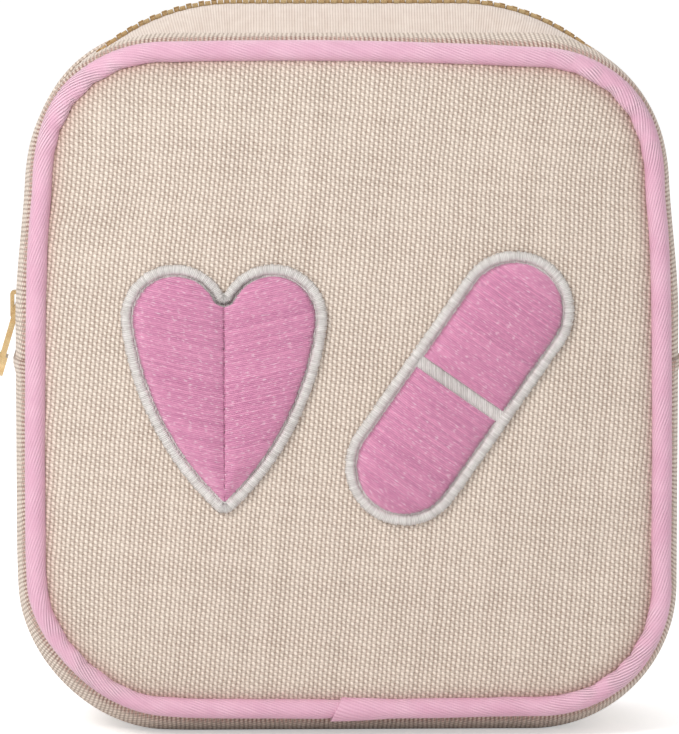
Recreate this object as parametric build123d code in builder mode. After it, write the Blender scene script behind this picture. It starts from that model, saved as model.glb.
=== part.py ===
from build123d import *

import os
from math import cos, radians, sin, sqrt

# Travel pill organizer: a small padded canvas pouch, closed by a zip that runs over its top, with a
# removable seven-cell pill box standing inside it.
# Frame: +X to the right seen from the front, the front faces -Y, +Z up. The origin is the middle of
# the flat base. Millimetres.

os.makedirs("parts", exist_ok=True)

# ---------------------------------------------------------------- driving dimensions

# The rounded rectangle that the outside of the piping follows, seen from the front.
HALF_WIDTH = 65.0
LOW_Z = 4.0
HIGH_Z = 141.0
CORNER_R = 27.5

# Cloth, padding and tape thicknesses, and the air left between layers that are sewn together.
CANVAS = 0.8
FOAM = 2.0
LINING = 0.4
TAPE = 0.5
LAYER_GAP = 0.05

# How deep two forms of one piece reach into each other, and how near two places count as one.
JOIN = 0.2
TOLERANCE = 0.01

# Piping: a cord in a bias-cut cover, round the edge of the front and of the back panel.
PIPING_Y = 22.6
PIPING_R = 2.15
PIPING_BORE_R = 1.6
CORD_R = 1.55

# Front and back panels: canvas, foam and lining, inside the piping.
PANEL_Y = 24.2
PANEL_CLEARANCE = 0.02
PANEL_INSET = 2 * PIPING_R + PANEL_CLEARANCE

# Gusset profile, from its seam at the piping to its crest: (distance from the middle plane, how far
# it stands out of the piping outline at the sides, at the bottom, and at the top).
GUSSET_SEAM = (20.4, -0.6, -0.6, -0.6)
GUSSET_SHOULDER = (16.0, 1.2, 2.4, 0.6)
GUSSET_CREST = (11.5, 2.0, 4.0, 1.2)

# The zip takes over from the bottom gusset at this height on both sides.
ZIP_END_Z = 76.0
SEAM_GAP = 0.1

# Seam binding that covers the raw edges inside, one round each panel.
BINDING_OUT = -2.2
BINDING_IN = -6.2
BINDING_Y = 20.4
BINDING_THICK = 1.5

# The flap: the front above this height folds forward about its outer face.
FOLD_Z = 104.0
FOLD_GAP = 0.1

# Zip chain: size 5 metal teeth on a path over the top.
CHAIN_HALF = 64.0
CHAIN_TOP_Z = 147.0
CHAIN_R = 41.5
TOOTH_PITCH = 2.54
TOOTH_THICK = 1.15
TOOTH_BACK = 3.4
TOOTH_NOSE = 0.7
TOOTH_HALF = 1.1
TOOTH_HEAD_HALF = 0.8
TOOTH_HEAD_START = 1.2
TOOTH_SLOT = 0.54
CHAIN_END_MARGIN = 5.0
FLAP_TEETH_RISE = 3.6

# Zip tape, as the gusset's stations: (distance from the middle plane, how far it stands out at the
# sides, and at the top). From its bend to its edge it follows the chain.
TAPE_UNDER_STRIP = ((14.0, 0.7, 0.0), (11.4, 1.1, 0.3))
TAPE_BEND = 3.6
TAPE_EDGE = 1.7

# Stops: a clamp on each tape at the closed end, and one block on both tapes at the other end. The
# places are distances along the chain from its two ends.
STOP_PLACE = 1.3
STOP_NEAR = 0.9
STOP_LEG = 2.9
STOP_LONG = 1.8
BLOCK_PLACE = 2.2
BLOCK_HALF = 3.0
BLOCK_LONG = 3.4

# Zip slider, at the left end of the closed chain.
SLIDER_Z = 86.0
SLIDER_LENGTH = 11.0
SLIDER_TOP_HALF = 4.6
SLIDER_MOUTH_HALF = 5.2
SLIDER_CORNER_R = 1.4
PLATE_NEAR = 1.3
PLATE_FAR = 2.1
FLANGE_IN = 3.75
FLANGE_OUT = 4.55
FLANGE_GAP = 0.62
FIRST_TOOTH = 0.5

# The wedge in the slider that drives the two rows of teeth apart: its places below the middle, and
# its half widths there.
WEDGE_TOP = 0.9
WEDGE_SHOULDER = 2.6
WEDGE_SHOULDER_HALF = 0.95
WEDGE_FOOT = 4.8
WEDGE_FOOT_HALF = 0.6

# Pull: a metal tab on a round bar that turns under the slider's bridge.
PIVOT_OUT = 2.85
BAR_R = 0.6
BRIDGE_HALF = 1.1
BRIDGE_UNDER = 3.6
BRIDGE_OVER = 4.4
BRIDGE_LEG_IN = 2.1
BRIDGE_LEG_OUT = 2.9
BRIDGE_CORNER_R = 0.8
PULL_LEAN = 16.7
PULL_LENGTH = 15.0
PULL_HALF = 3.5
PULL_CORNER_R = 2.6
PULL_THICK = 1.2
PULL_EYE_HALF = 2.2
PULL_EYE_END = 3.6
PULL_PAD_LENGTH = 4.2
PULL_PAD_THICK = 2.2

# Embroidered motifs on the front panel: a heart on the left and a capsule on the right.
MOTIF_Z = 71.5
MOTIF_BASE = 0.65
MOTIF_BORDER = 0.8
MOTIF_FILL = 1.2
BORDER_WIDTH = 2.2
BASE_INSET = 0.4
FILL_GAP = 0.1
HEART_X = -25.0
HEART_HEIGHT = 50.0
HEART_LOBE_R = 10.9
HEART_LOBE_X = 9.7
HEART_FLANK_R = 62.0
HEART_TIP_R = 2.6
CAPSULE_X = 22.0
CAPSULE_WIDTH = 24.0
CAPSULE_LENGTH = 62.0
CAPSULE_TILT = 35.0
CAPSULE_BAND = 2.4

# Pill box: tray, seven lids and their rod.
CELLS = 7
BOX_HALF = 58.0
BOX_HALF_DEPTH = 15.5
BOX_LOW_Z = 2.0
BOX_HIGH_Z = 32.0
BOX_CORNER_R = 22.0
BOX_EDGE_R = 2.5
BOX_WALL = 1.2
ROD_Y = 17.2
ROD_RISE = 0.6
ROD_R = 0.8
ROD_SHORT = 0.5
RUNNING_GAP = 0.05
KNUCKLE_R = 1.6
KNUCKLE_WIDTH = 10.0
KNUCKLE_GAP = 0.2
KNUCKLE_SPACE = (6.0, 14.0)
KNUCKLE_SPACE_DROP = 2.0
EAR_R = 1.7
EAR_FOOT_DROP = 6.5
EAR_BACK = 1.4
EAR_BACK_DROP = 1.0
LID_GAP = 0.5
LID_RISE = 0.2
LID_THICK = 1.4
LID_CORNER_R = 1.5
LID_JOIN = 0.5
LID_FRONT_Y = -16.7
LID_BACK_Y = 15.2
PLUG_DEPTH = 0.8
PLUG_GAP = 0.4
THUMB_TAB = 1.3
THUMB_TAB_WIDTH = 8.0

# Mesh pocket on the back lining.
POCKET_HALF = 58.0
POCKET_LOW_Z = 46.0
POCKET_HIGH_Z = 106.0
MESH = 0.4
MESH_Y = 20.7
ELASTIC_HEIGHT = 7.0
ELASTIC_WRAP = 5.0
ELASTIC_THICK = 1.0

FRONT = -1
BACK = 1

# ---------------------------------------------------------------- shared forms


def write(piece, name):
    """Label a finished piece and write it as one STEP file."""
    piece.part.label = name
    export_step(piece.part, f"parts/{name}.step")


def write_folded(piece, name):
    """Write a front piece as the half on the case and the half on the flap, parted at the fold."""
    with BuildPart() as lower:
        add(piece.part)
        split(bisect_by=Plane.XY.offset(FOLD_Z), keep=Keep.BOTTOM)
    write(lower, f"{name}_lower")
    with BuildPart() as upper:
        add(piece.part)
        split(bisect_by=Plane.XY.offset(FOLD_Z + FOLD_GAP), keep=Keep.TOP)
    write(upper, f"{name}_upper")


def outline(y, side, low=None, high=None, corner=None):
    """The piping outline at depth y, grown by side, low and high, as a face that looks to -Y."""
    bottom = LOW_Z - (side if low is None else low)
    top = HIGH_Z + (side if high is None else high)
    plane = Plane(origin=(0, y, (bottom + top) / 2), x_dir=(1, 0, 0), z_dir=(0, -1, 0))
    with BuildSketch(plane) as face:
        RectangleRounded(2 * (HALF_WIDTH + side), top - bottom, corner or CORNER_R + side)
    return face.sketch


def gusset_section(y, profile, inset):
    """The gusset outline of one profile station, drawn in by inset."""
    _, side, low, high = profile
    return outline(y, side - inset, low - inset, high - inset)


def upright(x, y, z):
    """A plane at a point, seen from the front: local x is +X and local y is +Z."""
    return Plane(origin=(x, y, z), x_dir=(1, 0, 0), z_dir=(0, -1, 0))


# ---------------------------------------------------------------- panels


def panel_layer(facing, start, thick):
    """One layer of a panel, start below its outer face."""
    with BuildPart() as layer:
        extrude(outline(facing * (PANEL_Y - start), -PANEL_INSET), amount=facing * thick)
    return layer


write_folded(panel_layer(FRONT, 0, CANVAS), "front_panel")
write_folded(panel_layer(FRONT, CANVAS, FOAM), "front_padding")
write_folded(panel_layer(FRONT, CANVAS + FOAM, LINING), "front_lining")
write(panel_layer(BACK, 0, CANVAS), "back_panel")
write(panel_layer(BACK, CANVAS, FOAM), "back_padding")
write(panel_layer(BACK, CANVAS + FOAM, LINING), "back_lining")

# ---------------------------------------------------------------- piping


def piping_route(facing):
    """The closed line along the middle of the piping."""
    return outline(facing * PIPING_Y, -PIPING_R).wire()


def round_section(route, radius):
    """A disc square to the start of a route."""
    with BuildSketch(Plane(origin=route @ 0, z_dir=route % 0)) as disc:
        Circle(radius)
    return disc.sketch


def piping_cover(facing):
    route = piping_route(facing)
    with BuildPart() as cover:
        sweep(round_section(route, PIPING_R), path=route)
        sweep(round_section(route, PIPING_BORE_R), path=route, mode=Mode.SUBTRACT)
    return cover


def piping_cord(facing):
    route = piping_route(facing)
    with BuildPart() as cord:
        sweep(round_section(route, CORD_R), path=route)
    return cord


write_folded(piping_cover(FRONT), "front_piping_cover")
write_folded(piping_cord(FRONT), "front_piping_cord")
write(piping_cover(BACK), "back_piping_cover")
write(piping_cord(BACK), "back_piping_cord")

# ---------------------------------------------------------------- gusset


def gusset_ring(near, far):
    """The whole gusset as a closed band, between two depths below its outer face."""
    stations = [
        (facing * station[0], station)
        for facing, order in ((FRONT, 1), (BACK, -1))
        for station in (GUSSET_SEAM, GUSSET_SHOULDER, GUSSET_CREST)[::order]
    ]
    with BuildPart() as ring:
        loft([gusset_section(y, station, near) for y, station in stations], ruled=True)
        loft([gusset_section(y, station, far) for y, station in stations], ruled=True, mode=Mode.SUBTRACT)
        split(bisect_by=Plane.XY.offset(ZIP_END_Z), keep=Keep.BOTTOM)
    return ring


write(gusset_ring(0, CANVAS), "bottom_gusset")
write(gusset_ring(CANVAS + LAYER_GAP, CANVAS + LAYER_GAP + LINING), "gusset_lining")

# ---------------------------------------------------------------- zip strips and tapes


def zip_strip(facing):
    """Canvas strip between the piping and the zip, with its folded edge at the gusset's crest."""
    stations = [(facing * s[0], s) for s in (GUSSET_SEAM, GUSSET_SHOULDER, GUSSET_CREST)]
    with BuildPart() as strip:
        loft([gusset_section(y, station, 0) for y, station in stations], ruled=True)
        loft([gusset_section(y, station, CANVAS) for y, station in stations], ruled=True, mode=Mode.SUBTRACT)
        split(bisect_by=Plane.XY.offset(ZIP_END_Z + SEAM_GAP), keep=Keep.TOP)
    return strip


def chain_outline(y, out):
    """Outline that follows the zip chain at a distance outward from its middle."""
    side = CHAIN_HALF + out - HALF_WIDTH
    return outline(y, side, 0, CHAIN_TOP_Z + out - HIGH_Z, CHAIN_R + out)


def tape_outlines(facing, inset):
    """Stations of a tape face: under the strip, at the strip's edge, and beside the teeth."""
    return [
        *[outline(facing * y, side - inset, 0, top - inset) for y, side, top in TAPE_UNDER_STRIP],
        *[chain_outline(facing * y, TAPE / 2 - inset) for y in (TAPE_BEND, TAPE_EDGE)],
    ]


def zip_tape(facing):
    with BuildPart() as tape:
        loft(tape_outlines(facing, 0), ruled=True)
        loft(tape_outlines(facing, TAPE), ruled=True, mode=Mode.SUBTRACT)
        split(bisect_by=Plane.XY.offset(ZIP_END_Z + SEAM_GAP), keep=Keep.TOP)
    return tape


write_folded(zip_strip(FRONT), "front_zip_strip")
write(zip_strip(BACK), "back_zip_strip")
write_folded(zip_tape(FRONT), "zip_tape_front")
write(zip_tape(BACK), "zip_tape_back")

# ---------------------------------------------------------------- zip chain

with BuildLine(Plane.XZ) as chain_line:
    left_run = Line((-CHAIN_HALF, ZIP_END_Z), (-CHAIN_HALF, CHAIN_TOP_Z - CHAIN_R))
    left_bend = JernArc(left_run @ 1, left_run % 1, CHAIN_R, -90)
    top_run = Line(left_bend @ 1, (CHAIN_HALF - CHAIN_R, CHAIN_TOP_Z))
    right_bend = JernArc(top_run @ 1, top_run % 1, CHAIN_R, -90)
    Line(right_bend @ 1, (CHAIN_HALF, ZIP_END_Z))
CHAIN = chain_line.wire()


def chain_plane(distance):
    """Plane across the chain: local x is +Y and local y points out of the pouch."""
    point = CHAIN.position_at(distance, position_mode=PositionMode.LENGTH)
    along = CHAIN.tangent_at(distance, position_mode=PositionMode.LENGTH)
    return Plane(origin=point, x_dir=(0, 1, 0), z_dir=along)


def clamp_profile(facing, leg_start, nose, head_half):
    """Section of a metal clamp on one tape's edge: two legs over the tape and a head past it."""
    with BuildSketch() as profile:
        with Locations((facing * (leg_start + TOOTH_HEAD_START) / 2, 0)):
            Rectangle(leg_start - TOOTH_HEAD_START, 2 * TOOTH_HALF)
        with Locations((facing * (TOOTH_HEAD_START - nose) / 2, 0)):
            Rectangle(TOOTH_HEAD_START + nose, 2 * head_half)
        with Locations((facing * (leg_start + TAPE_EDGE - LAYER_GAP) / 2, 0)):
            Rectangle(leg_start - TAPE_EDGE + LAYER_GAP, TOOTH_SLOT, mode=Mode.SUBTRACT)
    return profile.sketch


def clamp(facing, leg_start, nose, head_half, thick):
    with BuildPart() as metal:
        extrude(clamp_profile(facing, leg_start, nose, head_half), amount=thick / 2, both=True)
    return metal.part


def tooth(facing):
    return clamp(facing, TOOTH_BACK, TOOTH_NOSE, TOOTH_HEAD_HALF, TOOTH_THICK)


def chain_teeth(facing):
    """Every tooth place on one tape, as planes, from the slider round to the bottom stop."""
    first = SLIDER_Z + FIRST_TOOTH - ZIP_END_Z + (0 if facing == FRONT else TOOTH_PITCH / 2)
    count = int((CHAIN.length - CHAIN_END_MARGIN - first) / TOOTH_PITCH) + 1
    return [chain_plane(first + TOOTH_PITCH * k) for k in range(count)]


def under_fold(place):
    return place.origin.Z < FOLD_Z - TOOTH_THICK / 2 - FOLD_GAP


def over_fold(place):
    return place.origin.Z > FOLD_Z + FLAP_TEETH_RISE


def teeth_at(front_list, back_list):
    """Teeth as separate solids, on the front tape's places and on the back tape's places."""
    with BuildPart() as teeth:
        for solid, places in ((FRONT_TOOTH, front_list), (BACK_TOOTH, back_list)):
            if places:
                with Locations(*[place.location for place in places]):
                    add(solid)
    return teeth


FRONT_TOOTH = tooth(FRONT)
BACK_TOOTH = tooth(BACK)
front_places = chain_teeth(FRONT)
back_places = chain_teeth(BACK)


def on_left_run(place):
    return place.origin.X < -CHAIN_HALF + TOLERANCE


def slider_parts(place):
    """Whether the slider parts this tooth on its way up to the fold."""
    return on_left_run(place) and under_fold(place)


front_low = [p for p in front_places if under_fold(p) and not on_left_run(p)]
front_high = [p for p in front_places if over_fold(p)]
back_rest = [p for p in back_places if not slider_parts(p)]
write(
    teeth_at([p for p in front_places if slider_parts(p)], [p for p in back_places if slider_parts(p)]),
    "zip_teeth_parting",
)
write(teeth_at(front_low, []), "zip_teeth_front_lower")
write(teeth_at(front_high, []), "zip_teeth_front_upper")
write(teeth_at([], back_rest), "zip_teeth_back")

# Top stops: one clamp on each tape just past the closed slider
with BuildPart() as zip_top_stops:
    for facing in (FRONT, BACK):
        stop = clamp(facing, STOP_LEG, -STOP_NEAR, TOOTH_HALF, STOP_LONG)
        add(chain_plane(STOP_PLACE).location * stop)
write(zip_top_stops, "zip_top_stops")

# Bottom stop: one metal block that holds both tapes together at the other end
with BuildPart() as zip_bottom_stop:
    with BuildSketch(chain_plane(CHAIN.length - BLOCK_PLACE)):
        Rectangle(2 * BLOCK_HALF, 2 * TOOTH_HALF)
        for facing in (FRONT, BACK):
            with Locations((facing * (BLOCK_HALF + TAPE_EDGE - LAYER_GAP) / 2, 0)):
                Rectangle(BLOCK_HALF - TAPE_EDGE + LAYER_GAP, TOOTH_SLOT, mode=Mode.SUBTRACT)
    extrude(amount=BLOCK_LONG / 2, both=True)
write(zip_bottom_stop, "zip_bottom_stop")

# ---------------------------------------------------------------- slider and pull


def slider_face(out):
    """Plane parallel to the slider's plates: local x is -Y, local y is +Z, normal out of the pouch."""
    return Plane(origin=(-CHAIN_HALF - out, 0, SLIDER_Z), x_dir=(0, -1, 0), z_dir=(-1, 0, 0))


def slider_outline(out):
    half = SLIDER_LENGTH / 2
    with BuildSketch(slider_face(out)) as face:
        with BuildLine():
            Polyline(
                (-SLIDER_MOUTH_HALF, -half),
                (SLIDER_MOUTH_HALF, -half),
                (SLIDER_TOP_HALF, half),
                (-SLIDER_TOP_HALF, half),
                close=True,
            )
        make_face()
        fillet(face.vertices(), SLIDER_CORNER_R)
    return face.sketch


with BuildPart() as zip_slider:
    extrude(slider_outline(PLATE_NEAR), amount=PLATE_FAR - PLATE_NEAR)
    extrude(slider_outline(-PLATE_FAR), amount=PLATE_FAR - PLATE_NEAR)
    # side flanges keep the teeth in and leave a slit for the tapes
    for side in (-1, 1):
        for start in (FLANGE_GAP, -PLATE_NEAR):
            with BuildSketch(slider_face(start)):
                with Locations((side * (FLANGE_IN + FLANGE_OUT) / 2, 0)):
                    Rectangle(FLANGE_OUT - FLANGE_IN, SLIDER_LENGTH - 2 * SLIDER_CORNER_R)
            extrude(amount=PLATE_NEAR - FLANGE_GAP)
    # the wedge between the two mouths
    with BuildSketch(slider_face(-PLATE_NEAR)):
        with BuildLine():
            Polyline(
                (0, -WEDGE_TOP),
                (WEDGE_SHOULDER_HALF, -WEDGE_SHOULDER),
                (WEDGE_FOOT_HALF, -WEDGE_FOOT),
                (-WEDGE_FOOT_HALF, -WEDGE_FOOT),
                (-WEDGE_SHOULDER_HALF, -WEDGE_SHOULDER),
                close=True,
            )
        make_face()
    extrude(amount=2 * PLATE_NEAR)
    # the bridge that holds the pull's bar
    with BuildSketch(
        Plane(origin=(-CHAIN_HALF, 0, SLIDER_Z), x_dir=(0, 0, 1), z_dir=(0, -1, 0))
    ) as bridge:
        with Locations((0, (BRIDGE_OVER + PLATE_FAR - JOIN) / 2)):
            Rectangle(2 * BRIDGE_LEG_OUT, BRIDGE_OVER - PLATE_FAR + JOIN)
        fillet(bridge.vertices().group_by(Axis.Y)[-1], BRIDGE_CORNER_R)
        with Locations((0, (BRIDGE_UNDER + PLATE_FAR - JOIN) / 2)):
            Rectangle(2 * BRIDGE_LEG_IN, BRIDGE_UNDER - PLATE_FAR + JOIN, mode=Mode.SUBTRACT)
    extrude(amount=BRIDGE_HALF, both=True)
write(zip_slider, "zip_slider")

lean = radians(PULL_LEAN)
pull_plane = Plane(
    origin=(-CHAIN_HALF - PIVOT_OUT, 0, SLIDER_Z), x_dir=(0, 1, 0), z_dir=(-cos(lean), 0, sin(lean))
)
with BuildPart() as zip_pull:
    with BuildSketch(pull_plane) as tab:
        with Locations((0, PULL_LENGTH / 2)):
            Rectangle(2 * PULL_HALF, PULL_LENGTH)
        fillet(tab.vertices().group_by(Axis.Y)[-1], PULL_CORNER_R)
        with Locations((0, PULL_EYE_END / 2)):
            Rectangle(2 * PULL_EYE_HALF, PULL_EYE_END, mode=Mode.SUBTRACT)
    extrude(amount=PULL_THICK / 2, both=True)
    # thicker rounded end for the fingers
    with BuildSketch(pull_plane) as pad:
        with Locations((0, PULL_LENGTH - PULL_PAD_LENGTH / 2)):
            Rectangle(2 * PULL_HALF, PULL_PAD_LENGTH)
        fillet(pad.vertices().group_by(Axis.Y)[-1], PULL_CORNER_R)
    extrude(amount=PULL_PAD_THICK / 2, both=True)
    # the bar under the bridge
    with BuildSketch(Plane(origin=pull_plane.origin, x_dir=(1, 0, 0), z_dir=(0, -1, 0))):
        Circle(BAR_R)
    extrude(amount=PULL_HALF, both=True)
write(zip_pull, "zip_pull")

# ---------------------------------------------------------------- seam bindings


def seam_binding(facing):
    with BuildPart() as tape:
        extrude(outline(facing * BINDING_Y, BINDING_OUT), amount=facing * BINDING_THICK)
        extrude(
            outline(facing * BINDING_Y, BINDING_IN), amount=facing * BINDING_THICK, mode=Mode.SUBTRACT
        )
    return tape


write_folded(seam_binding(FRONT), "front_seam_binding")
write(seam_binding(BACK), "back_seam_binding")

# ---------------------------------------------------------------- embroidered motifs


def heart():
    """Heart outline: on each side a round lobe and a long full flank, which meet in a rounded tip."""
    half = HEART_HEIGHT / 2
    lobe = Vector(HEART_LOBE_X, half - HEART_LOBE_R)
    tip = Vector(0, HEART_TIP_R - half)
    # the flank's circle touches the lobe's and the tip's from outside, so its centre's distances are known
    to_lobe, to_tip = HEART_FLANK_R - HEART_LOBE_R, HEART_FLANK_R - HEART_TIP_R
    between = (tip - lobe).length
    along = (to_lobe**2 - to_tip**2 + between**2) / (2 * between)
    down = (tip - lobe).normalized()
    flank = lobe + down * along + Vector(down.Y, -down.X) * sqrt(to_lobe**2 - along**2)
    flank_top = lobe + (lobe - flank).normalized() * HEART_LOBE_R
    flank_end = tip + (tip - flank).normalized() * HEART_TIP_R
    notch = lobe + Vector(-HEART_LOBE_X, sqrt(HEART_LOBE_R**2 - HEART_LOBE_X**2))
    flank_middle = flank + ((flank_top + flank_end) / 2 - flank).normalized() * HEART_FLANK_R
    tip_middle = tip + (flank_end - tip + Vector(0, -HEART_TIP_R)).normalized() * HEART_TIP_R
    with BuildSketch() as shape:
        with BuildLine():
            ThreePointArc(notch, lobe + Vector(0, HEART_LOBE_R), flank_top)
            ThreePointArc(flank_top, flank_middle, flank_end)
            ThreePointArc(flank_end, tip_middle, tip - Vector(0, HEART_TIP_R))
            mirror(about=Plane.YZ)
        make_face()
    return shape.sketch


def capsule():
    with BuildSketch() as shape:
        SlotOverall(CAPSULE_LENGTH, CAPSULE_WIDTH)
    return shape.sketch


def motif_layer(shape, plane, start, thick, inset=0.0, hollow=0.0, band=0.0):
    """One layer of a motif, start off the cloth. inset draws its edge in, hollow leaves only a border
    of that width, and band leaves a gap across its middle."""
    with BuildPart() as layer:
        with BuildSketch(plane.offset(start)):
            add(shape)
            if inset:
                offset(amount=-inset, mode=Mode.REPLACE)
            if hollow:
                offset(shape, amount=-hollow, mode=Mode.SUBTRACT)
            if band:
                Rectangle(band, CAPSULE_WIDTH, mode=Mode.SUBTRACT)
        extrude(amount=thick)
    return layer


MOTIF_Y = -PANEL_Y - LAYER_GAP
THREAD_START = MOTIF_BASE + LAYER_GAP
tilt = radians(CAPSULE_TILT)
heart_plane = upright(HEART_X, MOTIF_Y, MOTIF_Z)
capsule_plane = Plane(
    origin=(CAPSULE_X, MOTIF_Y, MOTIF_Z), x_dir=(sin(tilt), 0, cos(tilt)), z_dir=(0, -1, 0)
)
for name, shape, plane, band in (
    ("heart", heart(), heart_plane, 0),
    ("capsule", capsule(), capsule_plane, CAPSULE_BAND),
):
    write(motif_layer(shape, plane, 0, MOTIF_BASE, inset=BASE_INSET), f"motif_{name}_base")
    write(motif_layer(shape, plane, THREAD_START, MOTIF_BORDER, hollow=BORDER_WIDTH), f"motif_{name}_border")
    fill = motif_layer(shape, plane, THREAD_START, MOTIF_FILL, inset=BORDER_WIDTH + FILL_GAP, band=band)
    write(fill, f"motif_{name}_fill")

# ---------------------------------------------------------------- mesh pocket

with BuildPart() as mesh_pocket:
    with BuildSketch(upright(0, MESH_Y, (POCKET_LOW_Z + POCKET_HIGH_Z) / 2)):
        Rectangle(2 * POCKET_HALF, POCKET_HIGH_Z - POCKET_LOW_Z)
    extrude(amount=MESH)
write(mesh_pocket, "mesh_pocket")

# Elastic binding folded over the mesh's top edge
with BuildPart() as pocket_binding:
    with BuildSketch(Plane.YZ) as fold:
        with Locations((MESH_Y - MESH / 2 - LAYER_GAP, POCKET_HIGH_Z - ELASTIC_WRAP + ELASTIC_HEIGHT / 2)):
            Rectangle(ELASTIC_THICK, ELASTIC_HEIGHT)
        with Locations((MESH_Y - MESH / 2, POCKET_HIGH_Z - ELASTIC_WRAP / 2)):
            Rectangle(MESH + 2 * LAYER_GAP, ELASTIC_WRAP + 2 * LAYER_GAP, mode=Mode.SUBTRACT)
    extrude(amount=POCKET_HALF, both=True)
write(pocket_binding, "pocket_binding")

# ---------------------------------------------------------------- pill box

cell_pitch = (2 * BOX_HALF - BOX_WALL) / CELLS
cell_centres = [(k - (CELLS - 1) / 2) * cell_pitch for k in range(CELLS)]
rod_z = BOX_HIGH_Z + ROD_RISE
box_middle_z = (BOX_LOW_Z + BOX_HIGH_Z) / 2

with BuildPart() as pill_tray:
    with BuildSketch(Plane.XZ) as side_view:
        with Locations((0, box_middle_z)):
            Rectangle(2 * BOX_HALF, BOX_HIGH_Z - BOX_LOW_Z)
        fillet(side_view.vertices().group_by(Axis.Y)[0], BOX_CORNER_R)
    extrude(amount=BOX_HALF_DEPTH, both=True)
    rims = pill_tray.edges().group_by(Axis.Y)[0] + pill_tray.edges().group_by(Axis.Y)[-1]
    fillet([edge for edge in rims if edge.center().Z < BOX_HIGH_Z - TOLERANCE], BOX_EDGE_R)
    # the cells, with a divider left between each two
    with BuildSketch(Plane.XZ) as hollow:
        with Locations((0, box_middle_z + BOX_WALL)):
            Rectangle(2 * (BOX_HALF - BOX_WALL), BOX_HIGH_Z - BOX_LOW_Z)
        fillet(hollow.vertices().group_by(Axis.Y)[0], BOX_CORNER_R - BOX_WALL)
        with Locations(*[((x + cell_pitch / 2), box_middle_z) for x in cell_centres[:-1]]):
            Rectangle(BOX_WALL, 2 * BOX_HIGH_Z, mode=Mode.SUBTRACT)
    extrude(amount=BOX_HALF_DEPTH - BOX_WALL, both=True, mode=Mode.SUBTRACT)
    # hinge ears behind the back wall, between the lids' knuckles
    with BuildSketch(Plane.YZ) as ear:
        with Locations((ROD_Y, rod_z)):
            Circle(EAR_R)
        with BuildLine():
            Polyline(
                (BOX_HALF_DEPTH - JOIN, BOX_HIGH_Z - EAR_FOOT_DROP),
                (ROD_Y + EAR_BACK, rod_z - EAR_BACK_DROP),
                (ROD_Y, rod_z),
                (BOX_HALF_DEPTH - JOIN, BOX_HIGH_Z - JOIN),
                close=True,
            )
        make_face()
    extrude(amount=BOX_HALF, both=True)
    for x in cell_centres:
        with BuildSketch(Plane.YZ.offset(x)):
            with Locations((BOX_HALF_DEPTH + KNUCKLE_SPACE[0] / 2, BOX_HIGH_Z - KNUCKLE_SPACE_DROP)):
                Rectangle(*KNUCKLE_SPACE)
        extrude(amount=KNUCKLE_WIDTH / 2 + KNUCKLE_GAP, both=True, mode=Mode.SUBTRACT)
    with BuildSketch(Plane.YZ):
        with Locations((ROD_Y, rod_z)):
            Circle(ROD_R + RUNNING_GAP)
    extrude(amount=BOX_HALF, both=True, mode=Mode.SUBTRACT)
write(pill_tray, "pill_tray")

with BuildPart() as pill_hinge_rod:
    with BuildSketch(Plane.YZ):
        with Locations((ROD_Y, rod_z)):
            Circle(ROD_R)
    extrude(amount=BOX_HALF - ROD_SHORT, both=True)
write(pill_hinge_rod, "pill_hinge_rod")

lid_z = BOX_HIGH_Z + LID_RISE
for number, x in enumerate(cell_centres, start=1):
    with BuildPart() as pill_lid:
        # cover plate with rounded front corners
        with BuildSketch(Plane.XY.offset(lid_z)) as cover:
            with Locations((x, (LID_FRONT_Y + LID_BACK_Y) / 2)):
                Rectangle(cell_pitch - LID_GAP, LID_BACK_Y - LID_FRONT_Y)
            fillet(cover.vertices().group_by(Axis.Y)[0], LID_CORNER_R)
            with Locations((x, LID_FRONT_Y + (LID_JOIN - THUMB_TAB) / 2)):
                Rectangle(THUMB_TAB_WIDTH, THUMB_TAB + LID_JOIN)
        extrude(amount=LID_THICK)
        # plug that drops into the cell
        with BuildSketch(Plane.XY.offset(lid_z)):
            with Locations((x, 0)):
                Rectangle(cell_pitch - BOX_WALL - 2 * PLUG_GAP, 2 * (BOX_HALF_DEPTH - BOX_WALL - PLUG_GAP))
        extrude(amount=-PLUG_DEPTH)
        # knuckle round the rod
        with BuildSketch(Plane.YZ.offset(x)):
            with Locations((ROD_Y, rod_z)):
                Circle(KNUCKLE_R)
            with Locations(((LID_BACK_Y - LID_JOIN + ROD_Y) / 2, lid_z + LID_THICK / 2)):
                Rectangle(ROD_Y - LID_BACK_Y + LID_JOIN, LID_THICK)
        extrude(amount=KNUCKLE_WIDTH / 2, both=True)
        with BuildSketch(Plane.YZ.offset(x)):
            with Locations((ROD_Y, rod_z)):
                Circle(ROD_R + RUNNING_GAP)
        extrude(amount=KNUCKLE_WIDTH / 2, both=True, mode=Mode.SUBTRACT)
    write(pill_lid, f"pill_lid_{number}")
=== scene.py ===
"""Travel pill organizer: cloth, thread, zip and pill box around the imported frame.

Lengths are millimetres throughout, and mesh_piece turns them into the frame's metres.
+X is right seen from the front, the front faces -Y, +Z is up.
"""

from math import atan2, ceil, cos, degrees, pi, radians, sin

import bmesh
import bpy
import numpy as np
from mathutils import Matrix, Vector, noise
from mathutils.bvhtree import BVHTree


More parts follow.
